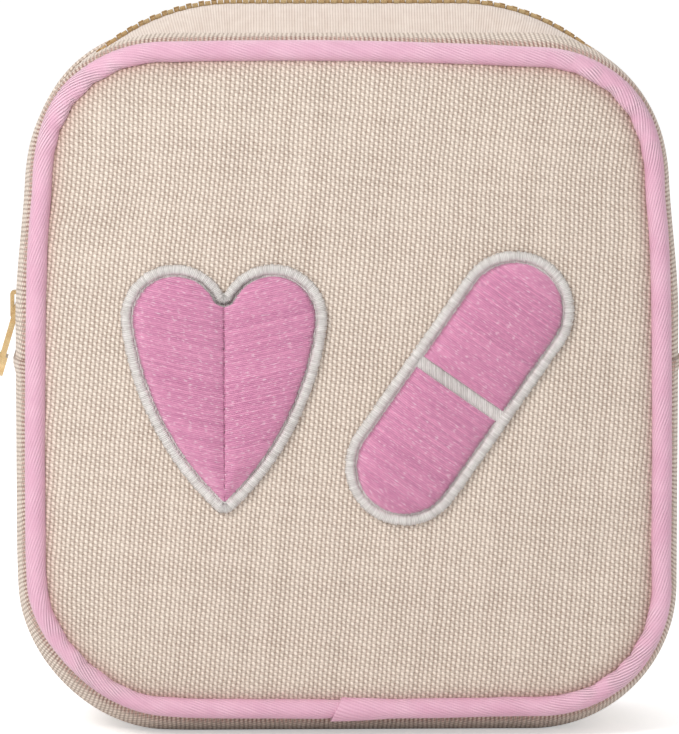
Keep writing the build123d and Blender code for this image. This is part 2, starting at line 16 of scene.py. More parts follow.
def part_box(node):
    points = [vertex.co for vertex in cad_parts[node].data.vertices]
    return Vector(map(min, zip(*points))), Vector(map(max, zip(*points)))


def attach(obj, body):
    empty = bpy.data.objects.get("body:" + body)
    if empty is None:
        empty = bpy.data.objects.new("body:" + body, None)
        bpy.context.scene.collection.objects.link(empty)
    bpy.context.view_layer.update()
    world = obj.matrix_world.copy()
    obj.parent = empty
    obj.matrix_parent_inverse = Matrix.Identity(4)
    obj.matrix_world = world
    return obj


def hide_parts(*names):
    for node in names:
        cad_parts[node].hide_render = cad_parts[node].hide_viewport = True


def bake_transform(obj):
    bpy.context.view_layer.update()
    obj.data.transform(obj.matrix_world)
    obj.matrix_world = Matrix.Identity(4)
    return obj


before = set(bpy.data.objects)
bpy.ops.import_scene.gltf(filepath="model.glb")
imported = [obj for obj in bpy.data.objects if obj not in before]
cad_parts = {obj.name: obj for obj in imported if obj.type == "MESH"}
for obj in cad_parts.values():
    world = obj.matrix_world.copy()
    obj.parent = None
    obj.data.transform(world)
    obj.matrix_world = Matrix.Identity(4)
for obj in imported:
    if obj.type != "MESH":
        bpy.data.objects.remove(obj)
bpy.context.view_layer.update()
MM = 0.001


def swept(line, normals, out, y):
    """Grid of points round an outline in (x, z): out from it along its normals, at y."""
    x, z = line[:, :1] + normals[:, :1] * out, line[:, 1:] + normals[:, 1:] * out
    return np.stack([x, y, z], axis=-1)


def node_box(name):
    """Lowest and highest corner of a CAD node, in millimetres."""
    low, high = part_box(name)
    return np.array(low) / MM, np.array(high) / MM


# ---------------------------------------------------------------- dimensions

piping_low, piping_high = node_box("back_piping_cover")
HALF_WIDTH = piping_high[0]
LOW_Z, HIGH_Z = piping_low[2], piping_high[2]
MIDDLE_Z = (LOW_Z + HIGH_Z) / 2
PIPING_R = (piping_high[1] - piping_low[1]) / 2
PIPING_Y = (piping_high[1] + piping_low[1]) / 2
CORNER_R = 27.5
PANEL_Y = node_box("back_panel")[1][1]
LINING_Y = node_box("back_lining")[1][1]
PANEL_INSET = 2 * PIPING_R + 0.02

CANVAS = 0.8
LINING = 0.4
TAPE = 0.5

# Gusset stations: (distance from the middle plane, growth of the piping outline at the sides, at the
# bottom and at the top). The first is tucked under the piping.
TUCKED = (21.4, -2.0, -2.0, -2.0)
SEAM = (20.5, -0.9, -0.9, -0.9)
SHOULDER = (16.0, 1.2, 2.4, 0.6)
CREST = (11.5, 2.0, 4.0, 0.8)
ZIP_END_Z = 76.0

# Tape stations run from under the strip to the chain, which has an outline of its own.
CHAIN_HALF = 64.0
CHAIN_TOP_Z = 147.0
CHAIN_R = 41.5
TAPE_BEND = 3.6
TAPE_EDGE = 1.7

# Motifs, as in the CAD.
MOTIF_Z = 71.5
MOTIF_LIFT = 0.05
BORDER_LIFT = 0.7
BORDER_WIDTH = 2.2
HEART_X = -25.0
HEART_LOBE_R = 10.9
HEART_LOBE_X = 9.7
HEART_FLANK_R = 62.0
HEART_HEIGHT = 50.0
HEART_TIP_R = 2.6
CAPSULE_X = 22.0
CAPSULE_WIDTH = 24.0
CAPSULE_LENGTH = 62.0
CAPSULE_TILT = 35.0
CAPSULE_BAND = 2.4
THREAD = 0.38

# ---------------------------------------------------------------- mesh helpers


def mesh_piece(name, points, faces, cloth=None):
    """A Blender object from points in millimetres. cloth is each point's place on the flat cloth."""
    mesh = bpy.data.meshes.new(name)
    mesh.from_pydata((np.asarray(points) * MM).tolist(), [], [list(face) for face in faces])
    if cloth is not None:
        flat = np.zeros((len(points), 3), np.float32)
        flat[:, : np.shape(cloth)[1]] = cloth
        mesh.attributes.new("cloth", "FLOAT_VECTOR", "POINT").data.foreach_set("vector", flat.ravel())
    shape = bmesh.new()
    shape.from_mesh(mesh)
    bmesh.ops.dissolve_degenerate(shape, dist=1e-7, edges=shape.edges)
    bmesh.ops.recalc_face_normals(shape, faces=shape.faces)
    shape.to_mesh(mesh)
    shape.free()
    mesh.polygons.foreach_set("use_smooth", [True] * len(mesh.polygons))
    piece = bpy.data.objects.new(name, mesh)
    bpy.context.scene.collection.objects.link(piece)
    return piece


def grid_faces(rows, columns, start=0):
    """Quads of a grid whose points are numbered row by row."""
    index = start + np.arange(rows * columns).reshape(rows, columns)
    corners = (index[:-1, :-1], index[:-1, 1:], index[1:, 1:], index[1:, :-1])
    return np.stack([c.ravel() for c in corners], axis=1)


def grid_normals(grid):
    """Unit normals of a grid of points, on the side away from the middle of the pouch."""
    normals = np.cross(np.gradient(grid, axis=0), np.gradient(grid, axis=1))
    normals /= np.linalg.norm(normals, axis=2, keepdims=True) + 1e-9
    outward = (normals * (grid - np.array([0, 0, MIDDLE_Z]))).sum()
    return normals if outward > 0 else -normals


def shell(grid, thick):
    """Points and faces of cloth of that thickness behind a grid, closed all round its rim."""
    rows, columns = grid.shape[:2]
    count = rows * columns
    points = np.concatenate([grid.reshape(-1, 3), (grid - grid_normals(grid) * thick).reshape(-1, 3)])
    index = np.arange(count).reshape(rows, columns)
    rim = np.concatenate([index[0], index[1:, -1], index[-1, -2::-1], index[-2::-1, 0]])
    walls = np.stack([rim[:-1], rim[1:], rim[1:] + count, rim[:-1] + count], axis=1)
    faces = np.concatenate([grid_faces(rows, columns), grid_faces(rows, columns, count), walls])
    return points, faces


def lengths(points):
    """Running length along a line of points."""
    return np.concatenate([[0], np.cumsum(np.linalg.norm(np.diff(points, axis=0), axis=1))])


def flat_places(grid):
    """Each grid point's place on the flat cloth: along the middle row, and across the middle column."""
    rows, columns = grid.shape[:2]
    along = lengths(grid[rows // 2])
    across = lengths(grid[:, columns // 2])
    return np.stack(np.meshgrid(along, across), axis=2)


def cloth_shell(name, grid, thick, places=None, shade=None):
    """A piece of cloth of real thickness whose outer face is the grid."""
    points, faces = shell(grid, thick)
    flat = (flat_places(grid) if places is None else places).reshape(-1, 2)
    if shade is not None:
        flat = np.column_stack([flat, shade.ravel()])
    return mesh_piece(name, points, faces, np.concatenate([flat, flat]))


def curve_between(start, end, leaving, arriving, t):
    """Points on a smooth curve between two points, from its slopes at both."""
    return (
        start * (2 * t**3 - 3 * t**2 + 1)
        + leaving * (t**3 - 2 * t**2 + t)
        + end * (3 * t**2 - 2 * t**3)
        + arriving * (t**3 - t**2)
    )


def spline_rows(rows, count):
    """Rows of points between given rows, on smooth curves that never overshoot them."""
    rows = np.asarray(rows, float)
    middle = rows[:, rows.shape[1] // 2]
    at = lengths(middle)
    steps = np.diff(at)[:, None, None]
    slopes = np.diff(rows, axis=0) / steps
    before, after = slopes[:-1], slopes[1:]
    same = before * after > 0
    inner = np.where(same, 2 * before * after / np.where(same, before + after, 1), 0)
    tangents = np.concatenate([slopes[:1], inner, slopes[-1:]])
    wanted = np.linspace(0, at[-1], count)
    k = np.clip(np.searchsorted(at, wanted, side="right") - 1, 0, len(rows) - 2)
    h = (at[k + 1] - at[k])[:, None, None]
    t = ((wanted - at[k])[:, None, None]) / h
    return curve_between(rows[k], rows[k + 1], tangents[k] * h, tangents[k + 1] * h, t)


def ease(t):
    """0 to 1 with level ends."""
    t = np.clip(t, 0, 1)
    return t * t * (3 - 2 * t)


def rough(points, size, seed):
    """Smooth noise from about -1 to 1, with features of that size."""
    shift = Vector((seed * 17.3, seed * 5.1, seed * 9.7))
    flat = np.asarray(points).reshape(-1, 3) / size
    values = np.array([noise.noise(Vector(p) + shift) for p in flat])
    return values.reshape(np.shape(points)[:-1])


# How far each corner of the sewn outline lies inside (or, below 0, outside) the even one, as
# (left or right, low or high, distance at the piping, distance at the crest).
CORNER_PULLS = ((-1, -1, 1.9, 1.3), (1, -1, -1.0, 0.0), (-1, 1, -0.5, 0.0), (1, 1, -0.6, 0.0))
CORNER_START = (30, 33)
CORNER_SPAN = 30


def settle(points):
    """Soft unevenness of the sewn pouch: its sides lean in towards the top, and each corner differs."""
    points = np.array(points, float)
    x, y, z = points[..., 0], points[..., 1], points[..., 2]
    at_piping = ease((np.abs(y) - CREST[0]) / (SEAM[0] - CREST[0]))
    at_crest = ease((np.abs(y) - TAPE_BEND) / (CREST[0] - TAPE_BEND)) * (1 - at_piping)
    up, down = np.clip((z - MIDDLE_Z) / 68, 0, 1), np.clip((MIDDLE_Z - z) / 68, 0, 1)
    narrow = at_piping * (1.1 * (np.clip(z - 55, 0, 55) / 55) ** 2 + 0.9 * np.exp(-(((z - 117) / 11) ** 2)))
    narrow = narrow + at_crest * 2.2 * ease((z - 84) / 34)
    slope = 0.8 * (np.clip(x + 14, -26, 52) / 38) ** 2
    belly = 0.5 * (np.clip(x, -38, 38) / 38) ** 2
    points[..., 0] = x * (1 - narrow / HALF_WIDTH)
    points[..., 2] = z + at_piping * (belly * down - slope * up)
    for side, end, seam_pull, crest_pull in CORNER_PULLS:
        reach = ease((side * x - CORNER_START[0]) / CORNER_SPAN)
        reach = reach * ease((end * (z - MIDDLE_Z) - CORNER_START[1]) / CORNER_SPAN)
        pull = reach * (crest_pull + (seam_pull - crest_pull) * at_piping) * cos(pi / 4)
        points[..., 0] -= side * pull
        points[..., 2] -= end * pull
    return points


# ---------------------------------------------------------------- outlines


def outline(run, side, low=None, high=None, corner=None, cut=0.0, step=1.0, seam_x=0.0):
    """Points and outward normals (x, z) along the piping outline, grown by side, low and high.

    run is "around" (from the bottom at seam_x, clockwise seen from the front), "over" or "under", which
    start and end at height cut on the left and on the right."""
    half, r = HALF_WIDTH + side, corner or CORNER_R + side
    bottom = LOW_Z - (side if low is None else low)
    top = HIGH_Z + (side if high is None else high)
    flat, low_c, high_c = half - r, bottom + r, top - r
    plain, tall = HALF_WIDTH - CORNER_R, HIGH_Z - LOW_Z - 2 * CORNER_R
    turn = CORNER_R * pi / 2
    if run == "around":
        parts = [
            ((seam_x, bottom), (-flat, bottom), 270, 270, plain),
            ((-flat, low_c), None, 270, 180, turn),
            ((-half, low_c), (-half, high_c), 180, 180, tall),
            ((-flat, high_c), None, 180, 90, turn),
            ((-flat, top), (flat, top), 90, 90, 2 * plain),
            ((flat, high_c), None, 90, 0, turn),
            ((half, high_c), (half, low_c), 0, 0, tall),
            ((flat, low_c), None, 0, -90, turn),
            ((flat, bottom), (seam_x, bottom), -90, -90, plain),
        ]
    elif run == "over":
        parts = [
            ((-half, cut), (-half, high_c), 180, 180, HIGH_Z - CORNER_R - cut),
            ((-flat, high_c), None, 180, 90, turn),
            ((-flat, top), (flat, top), 90, 90, 2 * plain),
            ((flat, high_c), None, 90, 0, turn),
            ((half, high_c), (half, cut), 0, 0, HIGH_Z - CORNER_R - cut),
        ]
    else:
        parts = [
            ((-half, cut), (-half, low_c), 180, 180, cut - LOW_Z - CORNER_R),
            ((-flat, low_c), None, 180, 270, turn),
            ((-flat, bottom), (flat, bottom), 270, 270, 2 * plain),
            ((flat, low_c), None, 270, 360, turn),
            ((half, low_c), (half, cut), 360, 360, cut - LOW_Z - CORNER_R),
        ]
    points, normals = [], []
    for start, end, first, last, nominal in parts:
        t = np.linspace(0, 1, max(2, ceil(nominal / step)) + 1)
        angles = np.radians(first + (last - first) * t)
        facing = np.stack([np.cos(angles), np.sin(angles)], axis=1)
        if end is None:
            line = np.array(start) + r * facing
        else:
            line = np.outer(1 - t, start) + np.outer(t, end)
        skip = 1 if points else 0
        points.append(line[skip:])
        normals.append(facing[skip:])
    return np.concatenate(points), np.concatenate(normals)


def station_row(run, facing, station, inset=0.0, cut=0.0, step=1.0):
    """One row of a band: the outline at a gusset station, as points in space."""
    y, side, low, high = station
    line, _ = outline(run, side - inset, low - inset, high - inset, cut=cut, step=step)
    return np.insert(line, 1, facing * y, axis=1)


def chain_row(facing, y, out, cut, step=1.0):
    """A row that follows the zip chain at a distance outward from its middle."""
    side = CHAIN_HALF + out - HALF_WIDTH
    line, _ = outline("over", side, 0, CHAIN_TOP_Z + out - HIGH_Z, CHAIN_R + out, cut=cut, step=step)
    return np.insert(line, 1, facing * y, axis=1)


def edge_distance(x, z, inset=0.0):
    """How far inside the piping outline, drawn in by inset, a point lies."""
    half = np.array([HALF_WIDTH, (HIGH_Z - LOW_Z) / 2]) - inset
    r = CORNER_R - inset
    away = np.stack([np.abs(x), np.abs(z - MIDDLE_Z)], axis=-1) - (half - r)
    outside = np.linalg.norm(np.maximum(away, 0), axis=-1)
    return r - outside - np.minimum(away.max(axis=-1), 0)


def panel_places(inset, columns, rows):
    """A grid of (x, z) places that fills the rounded rectangle, its rim on the outline."""
    r = CORNER_R - inset
    flat, low_c, high_c = HALF_WIDTH - CORNER_R, LOW_Z + CORNER_R, HIGH_Z - CORNER_R

    def side(start, end, first, middle, last, count):
        turns = [(start, first, middle), (end, middle, last)]
        line = np.concatenate([
            np.array(centre)
            + r * np.stack([np.cos(a), np.sin(a)], axis=1)
            for centre, a in ((c, np.radians(np.linspace(f, g, 30))) for c, f, g in turns)
        ])
        at = lengths(line)
        wanted = np.linspace(0, at[-1], count)
        return np.stack([np.interp(wanted, at, line[:, k]) for k in (0, 1)], axis=1)

    low_left, low_right = (-flat, low_c), (flat, low_c)
    high_left, high_right = (-flat, high_c), (flat, high_c)
    low = side(low_left, low_right, 225, 270, 315, columns)
    high = side(high_left, high_right, 135, 90, 45, columns)
    left = side(low_left, high_left, 225, 180, 135, rows)
    right = side(low_right, high_right, -45, 0, 45, rows)
    a = np.linspace(0, 1, columns)[None, :, None]
    b = np.linspace(0, 1, rows)[:, None, None]
    between = (1 - b) * low[None] + b * high[None] + (1 - a) * left[:, None] + a * right[:, None]
    corners = (
        (1 - a) * (1 - b) * low[0] + a * (1 - b) * low[-1] + (1 - a) * b * high[0] + a * b * high[-1]
    )
    return between - corners


# ---------------------------------------------------------------- material helpers


def srgb(red, green, blue):
    """A colour given as it looks on a screen, from 0 to 255, as a linear colour."""
    parts = [c / 255 for c in (red, green, blue)]
    return [c / 12.92 if c <= 0.04045 else ((c + 0.055) / 1.055) ** 2.4 for c in parts] + [1.0]


class Shader:
    """A short way to write a material's nodes."""

    def __init__(self, name):
        self.material = bpy.data.materials.new(name)
        self.material.use_nodes = True
        self.tree = self.material.node_tree
        self.tree.nodes.clear()

    def add(self, kind, **settings):
        node = self.tree.nodes.new("ShaderNode" + kind)
        for key, value in settings.items():
            setattr(node, key, value)
        return node

    def put(self, value, socket):
        if isinstance(value, bpy.types.NodeSocket):
            self.tree.links.new(value, socket)
        else:
            socket.default_value = value

    def math(self, operation, *values, clamp=False):
        node = self.add("Math", operation=operation, use_clamp=clamp)
        for socket, value in zip(node.inputs, values):
            self.put(value, socket)
        return node.outputs[0]

    def times(self, first, second):
        return self.math("MULTIPLY", first, second)

    def over(self, first, second):
        return self.math("DIVIDE", first, second)

    def madd(self, first, second, third, clamp=False):
        """First times second, plus third."""
        return self.math("MULTIPLY_ADD", first, second, third, clamp=clamp)

    def mix(self, factor, first, second, blend="MIX"):
        node = self.add("Mix", data_type="RGBA", blend_type=blend)
        self.put(factor, node.inputs[0])
        self.put(first, node.inputs[6])
        self.put(second, node.inputs[7])
        return node.outputs[2]

    def cloth(self):
        """Place on the flat cloth, in millimetres, as (along, across)."""
        place = self.add("Attribute", attribute_name="cloth").outputs["Vector"]
        parts = self.add("SeparateXYZ")
        self.put(place, parts.inputs[0])
        self.shade = parts.outputs[2]
        return place, parts.outputs[0], parts.outputs[1]

    def space(self):
        """Place in space, in millimetres."""
        scaled = self.add("VectorMath", operation="SCALE")
        self.put(self.add("TexCoord").outputs["Object"], scaled.inputs[0])
        scaled.inputs["Scale"].default_value = 1 / MM
        return scaled.outputs[0]

    def noise(self, place, size, detail=2.0):
        """Smooth noise from 0 to 1 with features of that size in millimetres."""
        node = self.add("TexNoise")
        self.put(place, node.inputs["Vector"])
        node.inputs["Scale"].default_value = 1 / size
        node.inputs["Detail"].default_value = detail
        return node.outputs["Fac"]

    def stretched(self, place, along, across):
        """A place scaled so that noise runs in streaks."""
        scaled = self.add("VectorMath", operation="MULTIPLY")
        self.put(place, scaled.inputs[0])
        scaled.inputs[1].default_value = (along, across, 1.0)
        return scaled.outputs[0]

    def crevice_shade(self, reach):
        """1 in the open, down to 0 where the surface is closed in within that many millimetres."""
        node = self.add("AmbientOcclusion", samples=8)
        node.inputs["Distance"].default_value = reach * MM
        return node.outputs["AO"]

    def wobble(self, value, place, size, amount, seed=0.0):
        """A coordinate pushed to and fro by noise."""
        moved = self.add("VectorMath", operation="ADD")
        self.put(place, moved.inputs[0])
        moved.inputs[1].default_value = (seed, seed, seed)
        push = self.math("SUBTRACT", self.noise(moved.outputs[0], size), 0.5)
        return self.madd(push, 2 * amount, value)

    def random(self, first, second=0.0, seed=0.0):
        """A random number from 0 to 1 for each pair of whole numbers."""
        pair = self.add("CombineXYZ")
        self.put(first, pair.inputs[0])
        self.put(second, pair.inputs[1])
        pair.inputs[2].default_value = seed
        node = self.add("TexWhiteNoise")
        self.put(pair.outputs[0], node.inputs["Vector"])
        return node.outputs["Value"]

    def dip(self, value):
        """0 to 1 to 0 over each whole step of a coordinate, as a round thread is seen across."""
        off = self.math("ABSOLUTE", self.madd(self.math("FRACT", value), 2.0, -1.0))
        return self.math("SUBTRACT", 1.0, self.times(off, off))

    def finish(self, colour, height=None, relief=0.1, roughness=0.85, **values):
        """Principled surface with a bump from a height of 0 to 1 that stands for relief millimetres."""
        surface = self.add("BsdfPrincipled")
        self.put(colour, surface.inputs["Base Color"])
        self.put(roughness, surface.inputs["Roughness"])
        for key, value in values.items():
            self.put(value, surface.inputs[key.replace("_", " ")])
        if height is not None:
            bump = self.add("Bump")
            bump.inputs["Distance"].default_value = relief * MM
            self.put(height, bump.inputs["Height"])
            self.put(bump.outputs[0], surface.inputs["Normal"])
        output = self.add("OutputMaterial")
        self.put(surface.outputs[0], output.inputs[0])
        return self.material


def plain_weave(s, place, along, across, warp, weft, lean=0.0):
    """Height from 0 to 1 of a plain weave, and random numbers for its warps, wefts and crossings."""
    u = s.wobble(s.over(along, warp), place, 5.0, 0.3)
    v = s.wobble(s.over(across, weft), place, 3.0, 0.4, seed=40.0)
    column, row = s.math("FLOOR", u), s.math("FLOOR", v)

    def rise(value, other):
        """How far a thread has risen over the ones that cross it."""
        turn = s.times(s.math("ADD", value, other), pi)
        return s.madd(s.math("SINE", turn), 0.5, 0.5)

    # each float of the warp leans a little, as its yarn's twist makes it
    floats = s.math("FRACT", s.madd(s.math("ADD", v, column), 0.5, 0.25))
    leaning = s.madd(s.math("SUBTRACT", floats, 0.5), lean, u)
    round_top = s.math("POWER", s.dip(leaning), 1.3)
    warp_top = s.times(round_top, s.math("POWER", rise(v, column), 0.75))
    weft_top = s.times(s.dip(v), rise(u, s.math("ADD", row, 1.0)))
    height = s.math("MAXIMUM", warp_top, s.times(weft_top, 0.5))
    return height, s.random(column, seed=1.0), s.random(row, seed=2.0), s.random(column, row, seed=3.0)


# ---------------------------------------------------------------- materials


WARP_PITCH = 0.91
WEFT_PITCH = 0.59
STITCH_PITCH = 0.86


def canvas_material(name, light, dark, stitch_shaded=False):
    """Natural canvas: plain weave with thicker warps, slubs and a slight unevenness of tone."""
    s = Shader(name)
    place, along, across = s.cloth()
    height, warp_tone, weft_tone, spot = plain_weave(
        s, place, along, across, WARP_PITCH, WEFT_PITCH, lean=0.4
    )
    fuzz = s.noise(place, 0.16, 3.0)
    broad = s.noise(place, 14.0, 3.0)
    tone = s.madd(warp_tone, 0.06, s.times(weft_tone, 0.05))
    tone = s.madd(spot, 0.10, tone)
    tone = s.madd(fuzz, 0.28, tone)
    tone = s.madd(broad, 0.12, tone)
    # painted shade: the yarns' tops are painted lighter and the gaps between them darker, as light and
    # shade fall on the weave
    lit = s.madd(height, 1.12, s.math("SUBTRACT", tone, 0.16), clamp=True)
    colour = s.mix(lit, srgb(*dark), srgb(*light))
    # painted shade beside the piping, tinted pink as painted bounce light from it
    shaded = s.mix(1.0, colour, (0.52, 0.27, 0.24, 1), "MULTIPLY")
    amount = s.shade
    # on the strips this painted shade comes in short dips, as painted shade in a row of stitch holes
    if stitch_shaded:
        stitch_hole_shade = s.math("SUBTRACT", 1.0, s.dip(s.over(s.wobble(along, place, 3.0, 0.12), STITCH_PITCH)))
        amount = s.times(amount, s.madd(stitch_hole_shade, 0.75, 0.25))
    colour = s.mix(amount, colour, shaded)
    relief = s.madd(fuzz, 0.25, height)
    return s.finish(colour, relief, 0.26, 0.92, Sheen_Weight=0.12, Sheen_Roughness=0.6)


def piping_material():
    """Pink bias-cut twill: fine ridges at a slant to the tube, with a soft sheen."""
    s = Shader("piping_twill")
    place, along, around = s.cloth()
    slant = s.madd(along, -sin(radians(22)), s.times(around, cos(radians(22))))
    ridge = s.over(s.wobble(slant, place, 5.0, 0.12), 0.6)
    yarn = s.over(s.wobble(along, place, 3.0, 0.1, seed=9.0), 0.42)
    # where the tube turns, the cover is drawn into groups of sharper wrinkles
    group = s.madd(s.noise(place, 4.5, 1.0), 5.0, -2.1, clamp=True)
    strong = s.madd(s.times(group, s.shade), 1.6, 0.6)
    height = s.times(s.dip(ridge), strong)
    height = s.madd(s.dip(yarn), 0.15, height)
    tone = s.madd(s.random(s.math("FLOOR", ridge)), 0.2, s.noise(place, 7.0, 3.0))
    # painted shade: the ridges' tops are painted lighter and their hollows darker, most of all in the
    # wrinkles at the corners
    lit = s.madd(height, 0.36, s.times(tone, 0.5), clamp=True)
    colour = s.mix(lit, srgb(206, 142, 172), srgb(248, 205, 222))
    return s.finish(colour, height, 0.13, 0.5, Sheen_Weight=0.3, Sheen_Roughness=0.4)


def thread_material(name, light, dark, gloss, glint):
    """Embroidery thread: along runs across the threads, so that each one has its own tone."""
    s = Shader(name)
    place, along, across = s.cloth()
    strand = s.over(s.wobble(along, place, 2.5, 0.05), THREAD)
    fibre = s.over(s.wobble(along, place, 1.2, 0.04, seed=5.0), THREAD / 3)
    number = s.math("FLOOR", strand)
    streak = s.noise(s.stretched(place, 3.5, 0.5), 1.0, 2.0)
    dash = s.noise(s.stretched(place, 1.0, 0.28), 0.3, 1.0)
    tone = s.madd(s.random(number), 0.32, s.times(streak, 0.75))
    tone = s.madd(dash, 0.35, s.math("SUBTRACT", tone, 0.27))
    # painted shade: each strand is painted lighter along its crest and darker at its sides
    lit = s.madd(s.dip(strand), 0.36, tone, clamp=True)
    colour = s.mix(lit, srgb(*dark), srgb(*light))
    # painted glints: short whitish streaks painted where single fibres would catch the light
    bright = s.madd(dash, 7.0, -4.1, clamp=True)
    colour = s.mix(s.times(bright, glint), colour, srgb(255, 236, 244))
    height = s.madd(s.dip(strand), 0.7, s.times(s.dip(fibre), 0.3))
    height = s.madd(streak, 0.8, height)
    return s.finish(
        colour, height, 0.13, gloss, Sheen_Weight=0.25, Sheen_Roughness=0.3, Specular_IOR_Level=0.8
    )


def tape_material():
    """Cream zip tape with fine ribs across it."""
    s = Shader("zip_tape_rib")
    place, along, across = s.cloth()
    rib = s.over(s.wobble(along, place, 4.0, 0.06), 0.55)
    yarn = s.over(across, 0.4)
    height = s.madd(s.dip(rib), 0.8, s.times(s.dip(yarn), 0.2))
    tone = s.madd(s.random(s.math("FLOOR", rib)), 0.2, s.noise(place, 2.0, 3.0))
    # painted shade: the ribs' tops are painted lighter and the hollows between them darker
    lit = s.madd(height, 0.5, s.times(tone, 0.45), clamp=True)
    colour = s.mix(lit, srgb(196, 174, 160), srgb(242, 230, 220))
    return s.finish(colour, height, 0.1, 0.85, Sheen_Weight=0.2)


def lining_material():
    """Smooth woven lining with a faint grain."""
    s = Shader("lining_weave")
    place, along, across = s.cloth()
    height, warp_tone, weft_tone, _ = plain_weave(s, place, along, across, 0.34, 0.3)
    tone = s.madd(warp_tone, 0.2, s.times(weft_tone, 0.2))
    lit = s.math("ADD", tone, s.times(s.noise(place, 9.0, 3.0), 0.5), clamp=True)
    colour = s.mix(lit, srgb(222, 208, 192), srgb(242, 232, 219))
    return s.finish(colour, height, 0.04, 0.6, Sheen_Weight=0.3)


def binding_material():
    """Grosgrain seam tape: ribs across it."""
    s = Shader("binding_grosgrain")
    place, along, across = s.cloth()
    rib = s.over(s.wobble(along, place, 5.0, 0.08), 0.7)
    tone = s.times(s.noise(place, 3.0, 3.0), 0.5)
    # painted shade: the ribs' tops are painted lighter and the hollows between them darker
    lit = s.madd(s.dip(rib), 0.4, tone, clamp=True)
    colour = s.mix(lit, srgb(206, 190, 172), srgb(240, 230, 214))
    return s.finish(colour, s.dip(rib), 0.12, 0.8, Sheen_Weight=0.2)


def elastic_material():
    """Pink folded elastic with fine gathers."""
    s = Shader("elastic_rib")
    place, along, across = s.cloth()
    rib = s.over(s.wobble(along, place, 3.0, 0.15), 1.1)
    tone = s.times(s.noise(place, 1.0, 3.0), 0.5)
    # painted shade: the gathers' tops are painted lighter and the hollows between them darker
    lit = s.madd(s.dip(rib), 0.45, tone, clamp=True)
    colour = s.mix(lit, srgb(214, 140, 176), srgb(243, 190, 213))
    return s.finish(colour, s.dip(rib), 0.15, 0.6, Sheen_Weight=0.3)


def net_material():
    """Soft knitted net."""
    s = Shader("net_yarn")
    tone = s.noise(s.space(), 0.8, 3.0)
    return s.finish(s.mix(tone, srgb(215, 205, 192), srgb(248, 242, 234)), tone, 0.05, 0.7)


def gold_material():
    """Polished gold-plated metal, a little worn, with fine scratches."""
    s = Shader("gold_plate")
    place = s.space()
    wear = s.noise(place, 1.6, 4.0)
    colour = s.mix(wear, srgb(216, 170, 112), srgb(250, 226, 176))
    # painted shade: the colour turns dark brown where the metal is closed in, as in the gaps between the
    # teeth
    colour = s.mix(s.crevice_shade(1.0), srgb(84, 56, 38), colour)
    scratch = s.noise(s.stretched(place, 9.0, 1.0), 0.7, 3.0)
    roughness = s.madd(scratch, 0.22, 0.16)
    return s.finish(colour, scratch, 0.012, roughness, Metallic=1.0)


def steel_material():
    """Drawn steel wire."""
    s = Shader("steel_wire")
    scratch = s.noise(s.stretched(s.space(), 0.2, 6.0), 1.0, 3.0)
    roughness = s.madd(scratch, 0.25, 0.2)
    colour = s.mix(scratch, srgb(150, 150, 152), srgb(214, 214, 216))
    return s.finish(colour, scratch, 0.01, roughness, Metallic=1.0)


def plastic_material(name, light, dark, clear):
    """Moulded polypropylene: milky, with a faint orange-peel surface and fine handling marks."""
    s = Shader(name)
    place = s.space()
    colour = s.mix(s.noise(place, 16.0, 2.0), srgb(*dark), srgb(*light))
    peel = s.noise(place, 1.4, 2.0)
    marks = s.noise(s.stretched(place, 0.6, 2.4), 1.2, 4.0)
    roughness = s.madd(marks, 0.2, 0.22)
    return s.finish(
        colour, peel, 0.02, roughness, Subsurface_Weight=clear, Subsurface_Scale=0.004,
        Subsurface_Radius=(1.0, 0.7, 0.7), Coat_Weight=0.15,
    )


CANVAS_CLOTH = canvas_material("canvas_weave", (254, 240, 226), (124, 92, 72))
STRIP_CLOTH = canvas_material("canvas_weave_stitch_shaded", (254, 240, 226), (124, 92, 72), stitch_shaded=True)
PIPING_CLOTH = piping_material()
PINK_THREAD = thread_material("pink_satin_thread", (242, 162, 200), (178, 88, 138), 0.30, 0.55)
WHITE_THREAD = thread_material("white_satin_thread", (250, 247, 243), (176, 166, 162), 0.45, 0.3)
TAPE_CLOTH = tape_material()
LINING_CLOTH = lining_material()
BINDING_CLOTH = binding_material()
ELASTIC_CLOTH = elastic_material()
NET_YARN = net_material()
GOLD = gold_material()
STEEL = steel_material()
TRAY_PLASTIC = plastic_material("tray_plastic", (250, 246, 240), (240, 232, 224), 0.3)
LID_PLASTIC = plastic_material("lid_plastic_pink", (246, 190, 210), (238, 172, 198), 0.3)


def dress(piece, material):
    """Give a piece its material."""
    piece.data.materials.clear()
    piece.data.materials.append(material)
    return piece


def across_fold(piece):
    """A front piece, its placement baked into its points."""
    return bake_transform(piece)


# ---------------------------------------------------------------- panels

PANEL_COLUMNS = 63
PANEL_ROWS = 67
PANEL_CROWN = 2.3
FRONT = -1
BACK = 1


